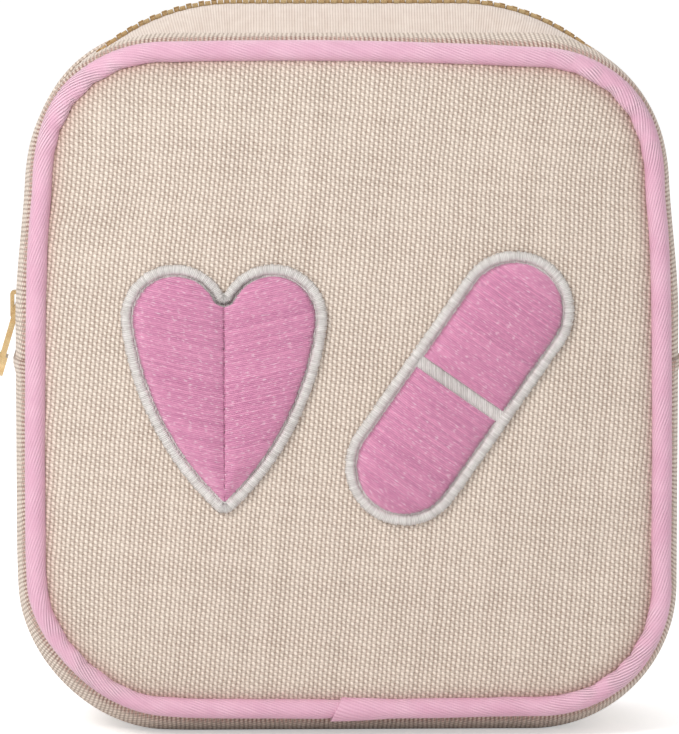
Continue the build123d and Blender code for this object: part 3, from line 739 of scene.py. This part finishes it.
def blown_heights(places, facing):
    """How far padded cloth held at its rim bulges, from a simulation."""
    rows, columns = places.shape[:2]
    flat = np.insert(places.reshape(-1, 2), 1, facing * PANEL_Y, axis=1)
    sheet = mesh_piece("simulated_panel", flat, grid_faces(rows, columns))
    inner = np.zeros((rows, columns), bool)
    inner[1:-1, 1:-1] = True
    rim = sheet.vertex_groups.new(name="rim")
    rim.add(np.flatnonzero(~inner).tolist(), 1.0, "REPLACE")
    if (sheet.data.polygons[0].normal.y > 0) != (facing > 0):
        sheet.data.flip_normals()
    cloth = sheet.modifiers.new("cloth", "CLOTH")
    settings = cloth.settings
    settings.quality = 8
    settings.mass = 0.15
    settings.tension_stiffness = settings.compression_stiffness = 25
    settings.shear_stiffness = 12
    settings.bending_stiffness = 3.0
    settings.vertex_group_mass = "rim"
    settings.shrink_min = -0.0016
    settings.use_pressure = True
    settings.uniform_pressure_force = 1.2
    settings.effector_weights.gravity = 0
    cloth.collision_settings.use_collision = False
    scene = bpy.context.scene
    for number in range(1, 21):
        scene.frame_set(number)
    graph = bpy.context.evaluated_depsgraph_get()
    moved = np.array([v.co for v in sheet.evaluated_get(graph).data.vertices]) / MM
    scene.frame_set(1)
    bpy.data.objects.remove(sheet)
    heights = facing * (moved[:, 1] - facing * PANEL_Y)
    return (PANEL_CROWN * np.tanh(np.maximum(heights, 0) / PANEL_CROWN)).reshape(rows, columns)


def finer(grid, times=2):
    """The same grid with each step cut in parts, on smooth curves."""
    for _ in range(2):
        grid = np.swapaxes(grid, 0, 1)
        count = (len(grid) - 1) * times + 1
        at = np.arange(len(grid))
        wanted = np.linspace(0, len(grid) - 1, count)
        k = np.clip(wanted.astype(int), 0, len(grid) - 2)
        t = (wanted - at[k]).reshape(-1, *[1] * (grid.ndim - 1))
        slopes = np.gradient(grid, axis=0)
        grid = curve_between(grid[k], grid[k + 1], slopes[k], slopes[k + 1], t)
    return grid


def panel_surface(facing, seed):
    """Outer face of a padded panel: crowned, puckered beside the piping and rolled into its seam."""
    coarse = panel_places(PANEL_INSET - 1.2, PANEL_COLUMNS, PANEL_ROWS)
    heights = blown_heights(coarse, facing)
    places = finer(coarse)
    crown = finer(heights[..., None])[..., 0]
    x, z = places[..., 0], places[..., 1]
    rim = np.maximum(edge_distance(x, z, PANEL_INSET - 1.2), 0)
    space = np.stack([x, np.full_like(x, seed), z], axis=-1)
    turn = np.maximum(np.abs(x) / HALF_WIDTH, 0) * np.abs(z - MIDDLE_Z) / MIDDLE_Z
    pucker = rough(space, 5.0, seed) * np.exp(-rim / 4.0) * (0.22 + 0.5 * ease(turn))
    dents = 0.22 * rough(space, 17.0, seed + 1) * ease(rim / 10)
    roll = 1.7 * np.exp(-((rim / 1.9) ** 2))
    height = crown + pucker + dents - roll
    shade = (0.45 + 0.45 * ease(2.2 * turn - 0.4)) * np.exp(-rim / (1.5 + 0.6 * turn))
    return settle(np.stack([x, facing * (PANEL_Y + height), z], axis=-1)), places, shade


def turned(places, angle):
    """Cloth places with the weave turned by an angle in degrees."""
    c, s = cos(radians(angle)), sin(radians(angle))
    along, across = places[..., 0], places[..., 1]
    return np.stack([along * c - across * s, along * s + across * c], axis=-1)


front_surface, front_places, front_shade = panel_surface(FRONT, 1)
front_panel = cloth_shell("front_panel_canvas", front_surface, CANVAS, turned(front_places, 5), front_shade)
dress(front_panel, CANVAS_CLOTH)
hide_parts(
    "front_panel_lower", "front_panel_upper", "front_padding_lower", "front_padding_upper"
)
across_fold(front_panel)

back_surface, back_places, back_shade = panel_surface(BACK, 6)
back_panel = cloth_shell("back_panel_canvas", back_surface, CANVAS, turned(back_places, -1), back_shade)
dress(back_panel, CANVAS_CLOTH)
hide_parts("back_panel", "back_padding")
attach(back_panel, "case")


def panel_lining(facing, seed):
    """Lining inside a panel, a little slack."""
    places = panel_places(PANEL_INSET - 0.5, 61, 65)
    x, z = places[..., 0], places[..., 1]
    rim = np.maximum(edge_distance(x, z, PANEL_INSET - 0.5), 0)
    space = np.stack([x, np.full_like(x, seed), z], axis=-1)
    slack = (0.3 * rough(space, 22.0, seed) + 0.12 * rough(space, 7.0, seed)) * ease(rim / 12)
    y = facing * (LINING_Y - 0.05 + slack)
    grid = settle(np.stack([x, y, z], axis=-1))
    name = "front_lining_cloth" if facing == FRONT else "back_lining_cloth"
    return cloth_shell(name, grid, LINING, places)


front_lining = dress(panel_lining(FRONT, 3), LINING_CLOTH)
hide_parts("front_lining_lower", "front_lining_upper")
across_fold(front_lining)
back_lining = dress(panel_lining(BACK, 4), LINING_CLOTH)
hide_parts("back_lining")
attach(back_lining, "case")

# ---------------------------------------------------------------- piping

PIPING_STEP = 0.4
PIPING_SIDES = 26
LAP_X = -1.2


def corner_share(points):
    """1 in the middle of the rounded corners, 0 along the sides."""
    x = np.clip((np.abs(points[:, 0]) - (HALF_WIDTH - CORNER_R)) / CORNER_R, 0, 1)
    z = np.clip((np.abs(points[:, 1] - MIDDLE_Z) - (MIDDLE_Z - LOW_Z - CORNER_R)) / CORNER_R, 0, 1)
    return ease(1.9 * x) * ease(1.9 * z)


def piping(facing, name):
    """Bias-cut cover round its cord, with fine wrinkles where it turns the corners and a lapped join."""
    line, normals = outline("around", -PIPING_R, step=PIPING_STEP, seam_x=LAP_X)
    along = lengths(line)
    turning = corner_share(line)[:, None]
    around = np.linspace(0, 2 * pi, PIPING_SIDES + 1)[None, :]
    s = along[:, None]
    space = np.stack(np.broadcast_arrays(s, 3 * np.cos(around), 3 * np.sin(around)), axis=-1)
    slow = rough(space, 9.0, 11 + facing)
    phase = 2 * pi * (s / 1.25 - 0.35 * around) + 4.0 * slow
    groups = ease(0.5 + 0.9 * rough(space * [1, 0.3, 0.3], 5.0, 14 + facing))
    folds = (np.abs(np.sin(phase / 2)) - 0.6) * groups
    scallop = np.abs(np.sin(pi * s / 6.3 + 2.2 * rough(space, 14.0, 21))) * ease(-1.2 * np.cos(around))
    radius = PIPING_R - 0.08 + 0.07 * slow
    radius = radius + turning * (0.16 * folds + 0.05 * rough(space, 2.0, 17) + 0.42 * (scallop - 0.4))
    # the covered end laps over the start, thicker and turned under
    end = along[-1] - s
    radius = radius + 0.5 * ease(1 - end / 12) - 0.2 * ease(1 - s / 6)
    out, depth = radius * np.cos(around), radius * np.sin(around)
    grid = swept(line, normals, out, facing * (PIPING_Y + depth))
    slant = (1.4 + 1.2 * np.cos(around)) * ease(1 - end / 5)
    grid[..., 0] -= slant
    grid = settle(grid)
    rows, columns = grid.shape[:2]
    places = np.stack(np.broadcast_arrays(s, PIPING_R * around, 0.25 + 0.75 * turning), axis=-1)
    places = places.reshape(-1, 3)
    ends = [list(range(columns - 1)), list(range((rows - 1) * columns, rows * columns - 1))]
    points = grid.reshape(-1, 3)
    faces = grid_faces(rows, columns).tolist() + ends
    return mesh_piece(name, points, faces, places)


front_piping = dress(piping(FRONT, "front_piping"), PIPING_CLOTH)
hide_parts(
    "front_piping_cover_lower", "front_piping_cover_upper",
    "front_piping_cord_lower", "front_piping_cord_upper",
)
across_fold(front_piping)
back_piping = dress(piping(BACK, "back_piping"), PIPING_CLOTH)
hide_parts("back_piping_cover", "back_piping_cord")
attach(back_piping, "case")

# ---------------------------------------------------------------- gusset, strips and tapes


def band_cloth(name, rows, across, thick, places_of=None, shade_of=None):
    """A band of cloth through rows of points."""
    grid = settle(spline_rows(rows, across))
    places = places_of(grid) if places_of else None
    shade = shade_of(grid) if shade_of else None
    return cloth_shell(name, grid, thick, places, shade), grid


def seam_shade(grid):
    """1 beside the piping, falling to 0 within a thread or two."""
    return ease((np.abs(grid[..., 1]) - SHOULDER[0] - 0.5) / 1.8)


def along_chain(grid):
    """Tape places measured along the zip chain, so that the tape's ribs stay square to it."""
    x, z = np.abs(grid[..., 0]), grid[..., 2]
    turn_x, turn_z = CHAIN_HALF - CHAIN_R, CHAIN_TOP_Z - CHAIN_R
    angle = np.arctan2(np.maximum(z - turn_z, 0), np.maximum(x - turn_x, 1e-6))
    side = np.minimum(z, turn_z) - ZIP_END_Z
    along = side + CHAIN_R * angle + np.maximum(turn_x - x, 0)
    whole = 2 * (turn_z - ZIP_END_Z + CHAIN_R * pi / 2 + turn_x)
    return np.stack([np.where(grid[..., 0] < 0, along, whole - along), flat_places(grid)[..., 1]], axis=-1)


def hemmed(row):
    """The gusset's ends are turned under, so they stand a little over the zip's ends."""
    row = row.copy()
    row[:, 0] += np.sign(row[:, 0]) * 0.5 * ease((row[:, 2] - ZIP_END_Z + 3.0) / 2.5)
    return row


def gusset():
    """Canvas round the bottom and up both sides to the ends of the zip."""
    stations = [TUCKED, SEAM, SHOULDER, CREST]
    front = [hemmed(station_row("under", FRONT, st, cut=ZIP_END_Z + 0.4)) for st in stations]
    back = [hemmed(station_row("under", BACK, st, cut=ZIP_END_Z + 0.4)) for st in stations[::-1]]
    piece, grid = band_cloth("bottom_gusset_canvas", front + back, 60, CANVAS, shade_of=seam_shade)
    dress(piece, STRIP_CLOTH)
    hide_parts("bottom_gusset")
    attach(piece, "case")
    inset = CANVAS + 0.05
    front = [station_row("under", FRONT, st, inset, ZIP_END_Z) for st in stations[1:]]
    back = [station_row("under", BACK, st, inset, ZIP_END_Z) for st in stations[:0:-1]]
    lining, grid = band_cloth("gusset_lining_cloth", front + back, 40, LINING)
    dress(lining, LINING_CLOTH)
    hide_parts("gusset_lining")
    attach(lining, "case")


def zip_side(facing, name):
    """Canvas strip and zip tape of one side, from the seam to the teeth."""
    cut = ZIP_END_Z - 1.0
    folded = (CREST[0] - 0.25, CREST[1] - 0.5, 0, CREST[3] - 0.5)
    stations = [TUCKED, SEAM, SHOULDER, CREST, folded]
    rows = [station_row("over", facing, st, cut=cut) for st in stations]
    strip, grid = band_cloth(f"{name}_zip_strip_canvas", rows, 26, CANVAS, shade_of=seam_shade)
    dress(strip, STRIP_CLOTH)
    under = [(14.0, 0.7, 0, 0.0), (CREST[0] - 0.1, 1.1, 0, 0.3)]
    rows = [station_row("over", facing, st, cut=cut) for st in under]
    rows += [chain_row(facing, y, TAPE / 2, cut) for y in (TAPE_BEND, TAPE_EDGE)]
    tape, grid = band_cloth(f"{name}_zip_tape_ribbed", rows, 30, TAPE, along_chain)
    dress(tape, TAPE_CLOTH)
    return strip, tape


gusset()
strip, tape = zip_side(FRONT, "front")
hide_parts("front_zip_strip_lower", "front_zip_strip_upper")
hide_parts("zip_tape_front_lower", "zip_tape_front_upper")
across_fold(strip)
across_fold(tape)
strip, tape = zip_side(BACK, "back")
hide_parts("back_zip_strip")
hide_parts("zip_tape_back")
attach(strip, "case")
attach(tape, "case")

# ---------------------------------------------------------------- seam bindings and pocket

BINDING_INSET = 4.2
BINDING_HALF = 2.0
BINDING_Y = 21.1
BINDING_HALF_THICK = 0.65
BINDING_DROP = 0.75


def rounded_section(half_long, half_thick, corner, count=6):
    """Closed outline of a flat tape's section, its corners rounded."""
    points = []
    for a, (sx, sy) in zip((0, 90, 180, 270), ((1, 1), (-1, 1), (-1, -1), (1, -1))):
        middle = (sx * (half_long - corner), sy * (half_thick - corner))
        for angle in np.radians(np.linspace(a, a + 90, count)):
            points.append((middle[0] + corner * cos(angle), middle[1] + corner * sin(angle)))
    return np.array(points + points[:1])


def seam_binding(facing, name):
    """Folded tape over the raw edges inside a panel's seam."""
    line, normals = outline("around", -BINDING_INSET, step=1.2)
    section = rounded_section(BINDING_HALF, BINDING_HALF_THICK, 0.5)
    along = lengths(line)[:, None]
    gather = 1 + 0.12 * np.sin(2 * pi * along / 3.1) + 0.06 * np.sin(2 * pi * along / 1.7)
    out, depth = section[None, :, 0], section[None, :, 1] * gather
    grid = swept(line, normals, out, facing * (BINDING_Y - BINDING_DROP + depth))
    grid = settle(grid)
    places = np.stack(np.broadcast_arrays(along, lengths(section)[None, :]), axis=-1).reshape(-1, 2)
    piece = mesh_piece(name, grid.reshape(-1, 3), grid_faces(*grid.shape[:2]), places)
    return dress(piece, BINDING_CLOTH)


front_binding = seam_binding(FRONT, "front_seam_binding_tape")
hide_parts("front_seam_binding_lower", "front_seam_binding_upper")
across_fold(front_binding)
back_binding = seam_binding(BACK, "back_seam_binding_tape")
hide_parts("back_seam_binding")
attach(back_binding, "case")

NET_CELL = 2.6
NET_YARN_R = 0.14


def net_pocket():
    """Knitted net with six-sided holes, as real yarns."""
    low, high = node_box("mesh_pocket")
    y = (low[1] + high[1]) / 2
    across = NET_CELL
    up = NET_CELL * 0.75
    columns, rows = int((high[0] - low[0]) / across), int((high[2] - low[2]) / up)
    points, edges, number = [], [], {}

    def knot(i, j, end):
        key = (i, j, end)
        if key not in number:
            x = low[0] + (i + 0.5 * (j % 2)) * across
            z = low[2] + j * up + (end - 0.5) * up * 0.5 + 0.5
            sag = 0.25 * noise.noise(Vector((x / 15, z / 15, 3.0)))
            number[key] = len(points)
            points.append((x, y + sag, min(z, high[2] - 0.2)))
        return number[key]

    for j in range(rows):
        for i in range(columns):
            edges.append((knot(i, j, 0), knot(i, j, 1)))
            if j + 1 < rows:
                edges.append((knot(i, j, 1), knot(i, j + 1, 0)))
                other = i - 1 if j % 2 == 0 else i + 1
                if 0 <= other < columns:
                    edges.append((knot(i, j, 1), knot(other, j + 1, 0)))
    return tubes("pocket_net", np.array(points), edges, NET_YARN_R)


def tubes(name, points, edges, radius, sides=4):
    """Straight yarns of that radius along edges."""
    verts, faces = [], []
    for a, b in edges:
        start, end = points[a], points[b]
        along = (end - start) / (np.linalg.norm(end - start) + 1e-9)
        side = np.cross(along, (0, 1, 0))
        side /= np.linalg.norm(side) + 1e-9
        other = np.cross(along, side)
        first = len(verts)
        for centre in (start, end):
            for k in range(sides):
                angle = 2 * pi * k / sides
                verts.append(centre + radius * (cos(angle) * side + sin(angle) * other))
        for k in range(sides):
            after = (k + 1) % sides
            faces.append((first + k, first + after, first + sides + after, first + sides + k))
    return mesh_piece(name, np.array(verts), faces)


net = dress(net_pocket(), NET_YARN)
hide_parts("mesh_pocket")
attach(net, "case")


def elastic_binding():
    """Elastic folded over the pocket's top edge, softly gathered."""
    low, high = node_box("pocket_binding")
    centre_y, centre_z = (low[1] + high[1]) / 2, (low[2] + high[2]) / 2
    half_tall, half_thick = (high[2] - low[2]) / 2, (high[1] - low[1]) / 2
    section = rounded_section(half_tall, half_thick, half_thick * 0.95)
    x = np.linspace(low[0], high[0], 320)[:, None]
    gather = 0.92 + 0.08 * np.sin(2 * pi * x / 1.9 + 2 * np.sin(x / 7))
    wave = 0.25 * np.sin(x / 9) + 0.15 * np.sin(x / 4.1 + 1)
    y = centre_y + section[None, :, 1] * gather
    z = centre_z + section[None, :, 0] * (0.97 + 0.03 * gather) + wave * 0.4
    grid = np.stack(np.broadcast_arrays(x, y, z), axis=-1)
    places = np.stack(np.broadcast_arrays(x, lengths(section)[None, :]), axis=-1).reshape(-1, 2)
    return mesh_piece("pocket_elastic", grid.reshape(-1, 3), grid_faces(*grid.shape[:2]), places)


elastic = dress(elastic_binding(), ELASTIC_CLOTH)
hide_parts("pocket_binding")
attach(elastic, "case")

# ---------------------------------------------------------------- embroidered motifs

front_tree = BVHTree.FromPolygons(
    front_surface.reshape(-1, 3).tolist(), grid_faces(*front_surface.shape[:2]).tolist()
)


def on_front(x, z, lift):
    """Points lifted off the front panel at (x, z)."""
    flat = np.stack(np.broadcast_arrays(x, z, lift), axis=-1).reshape(-1, 3).astype(float)
    found = []
    for px, pz, off in flat:
        hit = front_tree.ray_cast(Vector((px, -90, pz)), Vector((0, 1, 0)))[0]
        found.append((px, (hit.y if hit else FRONT * PANEL_Y) - off, pz))
    return np.array(found).reshape(*np.broadcast(x, z, lift).shape, 3)


def arc(centre, radius, first, last, count):
    """Points on an arc between two angles in degrees."""
    angles = np.radians(np.linspace(first, last, count + 1))
    return np.array(centre) + radius * np.stack([np.cos(angles), np.sin(angles)], axis=1)


def heart_outline(inset, step=0.25):
    """Closed outline of the heart drawn in by inset, clockwise from the notch, about its own centre."""
    half = HEART_HEIGHT / 2
    lobe = np.array([HEART_LOBE_X, half - HEART_LOBE_R])
    tip = np.array([0, HEART_TIP_R - half])
    # the flank's circle touches the lobe's and the tip's from outside
    to_lobe, to_tip = HEART_FLANK_R - HEART_LOBE_R, HEART_FLANK_R - HEART_TIP_R
    between = np.linalg.norm(tip - lobe)
    along = (to_lobe**2 - to_tip**2 + between**2) / (2 * between)
    down = (tip - lobe) / between
    flank = lobe + down * along + np.array([down[1], -down[0]]) * (to_lobe**2 - along**2) ** 0.5
    rise = (HEART_LOBE_R**2 - HEART_LOBE_X**2) ** 0.5
    notch = lobe + [-HEART_LOBE_X, rise]
    start = degrees(atan2(rise, -HEART_LOBE_X))
    first, last = (degrees(atan2(*(end - flank)[::-1])) for end in (lobe, tip))
    # counts come from the full outline, so that insets match point for point
    runs = [
        (notch, inset, -90, start - 180, 10),
        (lobe, HEART_LOBE_R - inset, start, first, ceil(radians(start - first) * HEART_LOBE_R / step)),
        (flank, HEART_FLANK_R - inset, first, last, ceil(radians(first - last) * HEART_FLANK_R / step)),
        (tip, HEART_TIP_R - inset, last, -90, ceil(radians(90 + last) * HEART_TIP_R / step)),
    ]
    right = np.concatenate([arc(*run)[1 if k else 0:] for k, run in enumerate(runs)])
    left = right[::-1] * [-1, 1]
    return np.concatenate([right, left[1:]])


def capsule_outline(inset, step=0.25):
    """Closed outline of the capsule drawn in by inset, standing upright about its own centre."""
    r = CAPSULE_WIDTH / 2
    reach = CAPSULE_LENGTH / 2 - r
    turns = ceil(pi * r / step)
    t = np.linspace(0, 1, ceil(2 * reach / step) + 1)[1:-1, None]
    angles = np.radians(np.linspace(180, 0, turns + 1))
    top = np.stack([(r - inset) * np.cos(angles), reach + (r - inset) * np.sin(angles)], axis=1)
    low = -top
    loop = [top, top[-1] * (1 - t) + low[0] * t, low, low[-1] * (1 - t) + top[0] * t, top[:1]]
    return np.concatenate(loop)


def placed(points, centre_x, tilt):
    """Motif points turned clockwise by tilt and moved to their place on the panel."""
    a = radians(tilt)
    x, z = points[..., 0], points[..., 1]
    return np.stack([centre_x + x * cos(a) + z * sin(a), MOTIF_Z - x * sin(a) + z * cos(a)], axis=-1)


def motif_base(name, loop, centre_x, tilt):
    """Patch cloth under the thread: a flat fan of rings from its middle to its rim."""
    shares = np.linspace(0, 1, 14)[:, None, None]
    rings = placed(loop[None] * shares, centre_x, tilt)
    grid = on_front(rings[..., 0], rings[..., 1], MOTIF_LIFT + 0.6)
    piece = cloth_shell(f"{name}_patch", grid, 0.6, rings)
    dress(piece, WHITE_THREAD)
    return piece


rng = np.random.default_rng(12)
DOME_REACH = 8.0


def motif_border(name, outer, inner, centre_x, tilt, height=0.8):
    """Satin border: threads laid across from the outer to the inner outline, their ends uneven."""
    count = len(outer)
    jag = np.clip(rng.normal(0, 0.09, (count, 2)), -0.2, 0.2)
    jag[-1] = jag[0]
    t = np.linspace(0, 1, 9)[None, :]
    width = np.linalg.norm(outer - inner, axis=1, keepdims=True) + 1e-6
    start, end = jag[:, :1] / width, 1 + jag[:, 1:] / width
    share = start + (end - start) * t
    flat = outer[:, None] * (1 - share[..., None]) + inner[:, None] * share[..., None]
    places = placed(flat, centre_x, tilt)
    ridge = 0.05 * (np.arange(count)[:, None] % 2)
    arch = (1 - np.abs(2 * t - 1) ** 2.6) * height + ridge * (1 - np.abs(2 * t - 1) ** 6)
    grid = on_front(places[..., 0], places[..., 1], BORDER_LIFT - 0.25 + arch)
    along = np.arange(count) * THREAD / 2
    cloth = np.stack(np.broadcast_arrays(along[:, None], 2.2 * t), axis=-1)
    piece = cloth_shell(f"{name}_border_thread", grid, 0.3, cloth)
    dress(piece, WHITE_THREAD)
    return piece


def satin_block(lines, height, start_rise=0.0):
    """Grid of padded satin: each line is one thread from start to end, two rows to a thread.

    start_rise is how much of its height the satin keeps at the threads' start, where blocks meet."""
    lines = np.asarray(lines)
    count = len(lines)
    t = np.linspace(0, 1, 30)[None, :]
    chord = np.linalg.norm(lines[:, 1] - lines[:, 0], axis=1, keepdims=True)
    jag = np.clip(rng.normal(0, 0.08, (count, 2)), -0.2, 0.2) / np.maximum(chord, 1)
    share = jag[:, :1] + (1 + jag[:, 1:] - jag[:, :1]) * t
    flat = lines[:, :1] * (1 - share[..., None]) + lines[:, 1:] * share[..., None]
    reach = np.minimum(t * chord + DOME_REACH * start_rise, (1 - t) * chord)
    low = np.minimum(1, chord / 7)
    ends = np.minimum(np.arange(count), np.arange(count)[::-1])[:, None] * THREAD / 2
    dome = np.sqrt(1 - (1 - np.clip(reach / DOME_REACH, 0, 1)) ** 2)
    dome = dome * (0.3 + 0.7 * np.sqrt(np.clip(ends / 3.0, 0, 1)))
    ridge = 0.07 * (np.arange(count)[:, None] % 2)
    lift = height * low**0.5 * dome * (1 + 0.06 * np.sin(2 * pi * t)) + ridge * np.clip(reach / 0.6, 0, 1)
    along = np.broadcast_to(np.arange(count)[:, None] * THREAD / 2, flat.shape[:2])
    return flat, lift, np.stack([along, t * chord], axis=-1)


def crossings(polygon, across, level):
    """First and last place, along unit vector `across`, where a line at a level meets a polygon."""
    up = np.array([-across[1], across[0]])
    heights = polygon @ up - level
    a, b = heights[:-1], heights[1:]
    k = np.flatnonzero((a <= 0) != (b <= 0))
    if len(k) < 2:
        return None
    t = (a[k] / (a[k] - b[k]))[:, None]
    hits = polygon[k] * (1 - t) + polygon[k + 1] * t
    order = np.argsort(hits @ across)
    return hits[order[[0, -1]]]


def satin_lines(polygon, angle):
    """Thread lines that fill a polygon at an angle in degrees, half a thread apart."""
    across = np.array([cos(radians(angle)), sin(radians(angle))])
    up = np.array([-across[1], across[0]])
    levels = polygon @ up
    wanted = np.arange(levels.min() + 0.05, levels.max() - 0.05, THREAD / 2)
    found = [crossings(polygon, across, level) for level in wanted]
    return [pair for pair in found if pair is not None]


def motif_fill(name, blocks, centre_x, tilt, height=2.3):
    """Padded satin in blocks of threads."""
    points, faces, cloth, first = [], [], [], 0
    for lines, start_rise in blocks:
        flat, lift, places = satin_block(lines, height, start_rise)
        spots = placed(flat, centre_x, tilt)
        grid = on_front(spots[..., 0], spots[..., 1], BORDER_LIFT + lift)
        block_points, block_faces = shell(grid, 0.4)
        points.append(block_points)
        faces.append(block_faces + first)
        cloth.append(np.tile(places.reshape(-1, 2) + [first * 0.013, 0], (2, 1)))
        first += len(block_points)
    parts = [np.concatenate(part) for part in (points, faces, cloth)]
    piece = mesh_piece(f"{name}_satin_thread", *parts)
    dress(piece, PINK_THREAD)
    return piece


def heart_blocks():
    """The heart's satin in two halves that meet along its middle."""
    loop = heart_outline(BORDER_WIDTH + 0.15)
    half = loop[loop[:, 0] >= -1e-6]
    right = np.concatenate([half, half[:1]])
    lines = satin_lines(right, 12)
    return [(lines, 0.35), ([pair * np.array([-1, 1]) for pair in lines], 0.35)]


def capsule_blocks():
    """The capsule's satin in two halves, with a plain band between them."""
    loop = capsule_outline(BORDER_WIDTH + 0.15)
    lines = satin_lines(loop, 0)
    gap = CAPSULE_BAND / 2
    upper = [pair for pair in lines if pair[0][1] > gap]
    lower = [pair for pair in lines if pair[0][1] < -gap]
    return [(upper, 0.0), (lower, 0.0)]


for motif, outline_of, centre_x, tilt, blocks in (
    ("heart", heart_outline, HEART_X, 0.0, heart_blocks()),
    ("capsule", capsule_outline, CAPSULE_X, CAPSULE_TILT, capsule_blocks()),
):
    name = f"motif_{motif}"
    base = motif_base(name, outline_of(0.4, 1.0), centre_x, tilt)
    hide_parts(f"{name}_base")
    border = motif_border(
        name, outline_of(0.0, THREAD / 2), outline_of(BORDER_WIDTH, THREAD / 2), centre_x, tilt
    )
    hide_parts(f"{name}_border")
    fill = motif_fill(name, blocks, centre_x, tilt)
    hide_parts(f"{name}_fill")
    for piece in (base, border, fill):
        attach(piece, "case")

# ---------------------------------------------------------------- metal and plastic from the frame


def finish_node(name, material, bevel, segments=3):
    """A CAD piece with its own material and softened edges."""
    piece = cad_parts[name]
    dress(piece, material)
    softened = piece.modifiers.new("soft edges", "BEVEL")
    softened.width = bevel * MM
    softened.segments = segments
    softened.limit_method = "ANGLE"
    softened.angle_limit = radians(35)
    softened.harden_normals = False
    return piece


for name in ("zip_teeth_front_lower", "zip_teeth_front_upper", "zip_teeth_back", "zip_teeth_parting"):
    finish_node(name, GOLD, 0.22, 2)
for name in ("zip_top_stops", "zip_bottom_stop"):
    finish_node(name, GOLD, 0.25)
finish_node("zip_slider", GOLD, 0.25)
finish_node("zip_pull", GOLD, 0.35)
finish_node("pill_tray", TRAY_PLASTIC, 0.25)
finish_node("pill_hinge_rod", STEEL, 0.15)
for number in range(1, 8):
    finish_node(f"pill_lid_{number}", LID_PLASTIC, 0.25)

# ---------------------------------------------------------------- floor, light and camera

CAMERA_AZIMUTH = -1.5
CAMERA_ELEVATION = 6.5
CAMERA_DISTANCE = 1.10
VIEW_CENTRE = (-0.0013, 0.0, 0.0729)
VIEW_WIDTH = 0.1388
SENSOR = 36.0
FLOOR_GLOW = 0.42
WORLD_LIGHT = 0.66
VIEW_ASPECT = 734 / 679


def area_light(name, place, target, size, power, colour=(1, 1, 1)):
    """A round soft light that faces its target."""
    light = bpy.data.lights.new(name, "AREA")
    light.shape = "DISK"
    light.size = size
    light.energy = power
    light.color = colour
    lamp = bpy.data.objects.new(name, light)
    lamp.location = place
    lamp.rotation_mode = "QUATERNION"
    lamp.rotation_quaternion = (Vector(place) - Vector(target)).to_track_quat("Z", "Y")
    bpy.context.scene.collection.objects.link(lamp)
    return lamp


def studio():
    """Pale floor, even white surroundings and soft light from the upper left."""
    floor_mesh = bpy.data.meshes.new("floor")
    floor_mesh.from_pydata([(-4, -4, 0), (4, -4, 0), (4, 4, 0), (-4, 4, 0)], [], [(0, 1, 2, 3)])
    floor = bpy.data.objects.new("floor", floor_mesh)
    bpy.context.scene.collection.objects.link(floor)
    s = Shader("floor_white")
    tone = s.noise(s.space(), 400.0, 2.0)
    glow = s.times(s.add("LightPath").outputs["Is Camera Ray"], FLOOR_GLOW)
    colour = s.mix(tone, (0.93, 0.93, 0.93, 1), (0.96, 0.96, 0.96, 1))
    floor_mesh.materials.append(
        s.finish(colour, roughness=0.7, Emission_Color=(1, 1, 1, 1), Emission_Strength=glow)
    )
    world = bpy.data.worlds.new("studio")
    world.use_nodes = True
    nodes, links = world.node_tree.nodes, world.node_tree.links
    nodes["Background"].inputs[0].default_value = (1.0, 1.0, 1.0, 1.0)
    seen = nodes.new("ShaderNodeLightPath")
    strength = nodes.new("ShaderNodeMapRange")
    strength.inputs["To Min"].default_value = WORLD_LIGHT
    strength.inputs["To Max"].default_value = 1.0
    links.new(seen.outputs["Is Camera Ray"], strength.inputs["Value"])
    links.new(strength.outputs[0], nodes["Background"].inputs[1])
    bpy.context.scene.world = world
    middle = (0, 0, 0.07)
    area_light("key", (-0.42, -0.50, 0.55), middle, 0.30, 3.1, (1.0, 0.985, 0.965))
    area_light("fill", (0.8, -0.9, 0.25), middle, 0.9, 0.5)
    area_light("rim", (0.1, 0.6, 0.9), middle, 0.6, 1.6)


def front_camera():
    """Camera nearly straight in front, a little above, with a long lens."""
    camera = bpy.data.cameras.new("camera")
    camera.sensor_width = SENSOR
    camera.lens = SENSOR * CAMERA_DISTANCE / (VIEW_WIDTH * VIEW_ASPECT)
    holder = bpy.data.objects.new("camera", camera)
    bpy.context.scene.collection.objects.link(holder)
    a, e = radians(CAMERA_AZIMUTH), radians(CAMERA_ELEVATION)
    back = Vector((sin(a) * cos(e), -cos(a) * cos(e), sin(e)))
    holder.location = Vector(VIEW_CENTRE) + back * CAMERA_DISTANCE
    holder.rotation_mode = "QUATERNION"
    holder.rotation_quaternion = (-back).to_track_quat("-Z", "Y")
    bpy.context.scene.camera = holder


studio()
front_camera()
bpy.context.scene.view_settings.view_transform = "Standard"
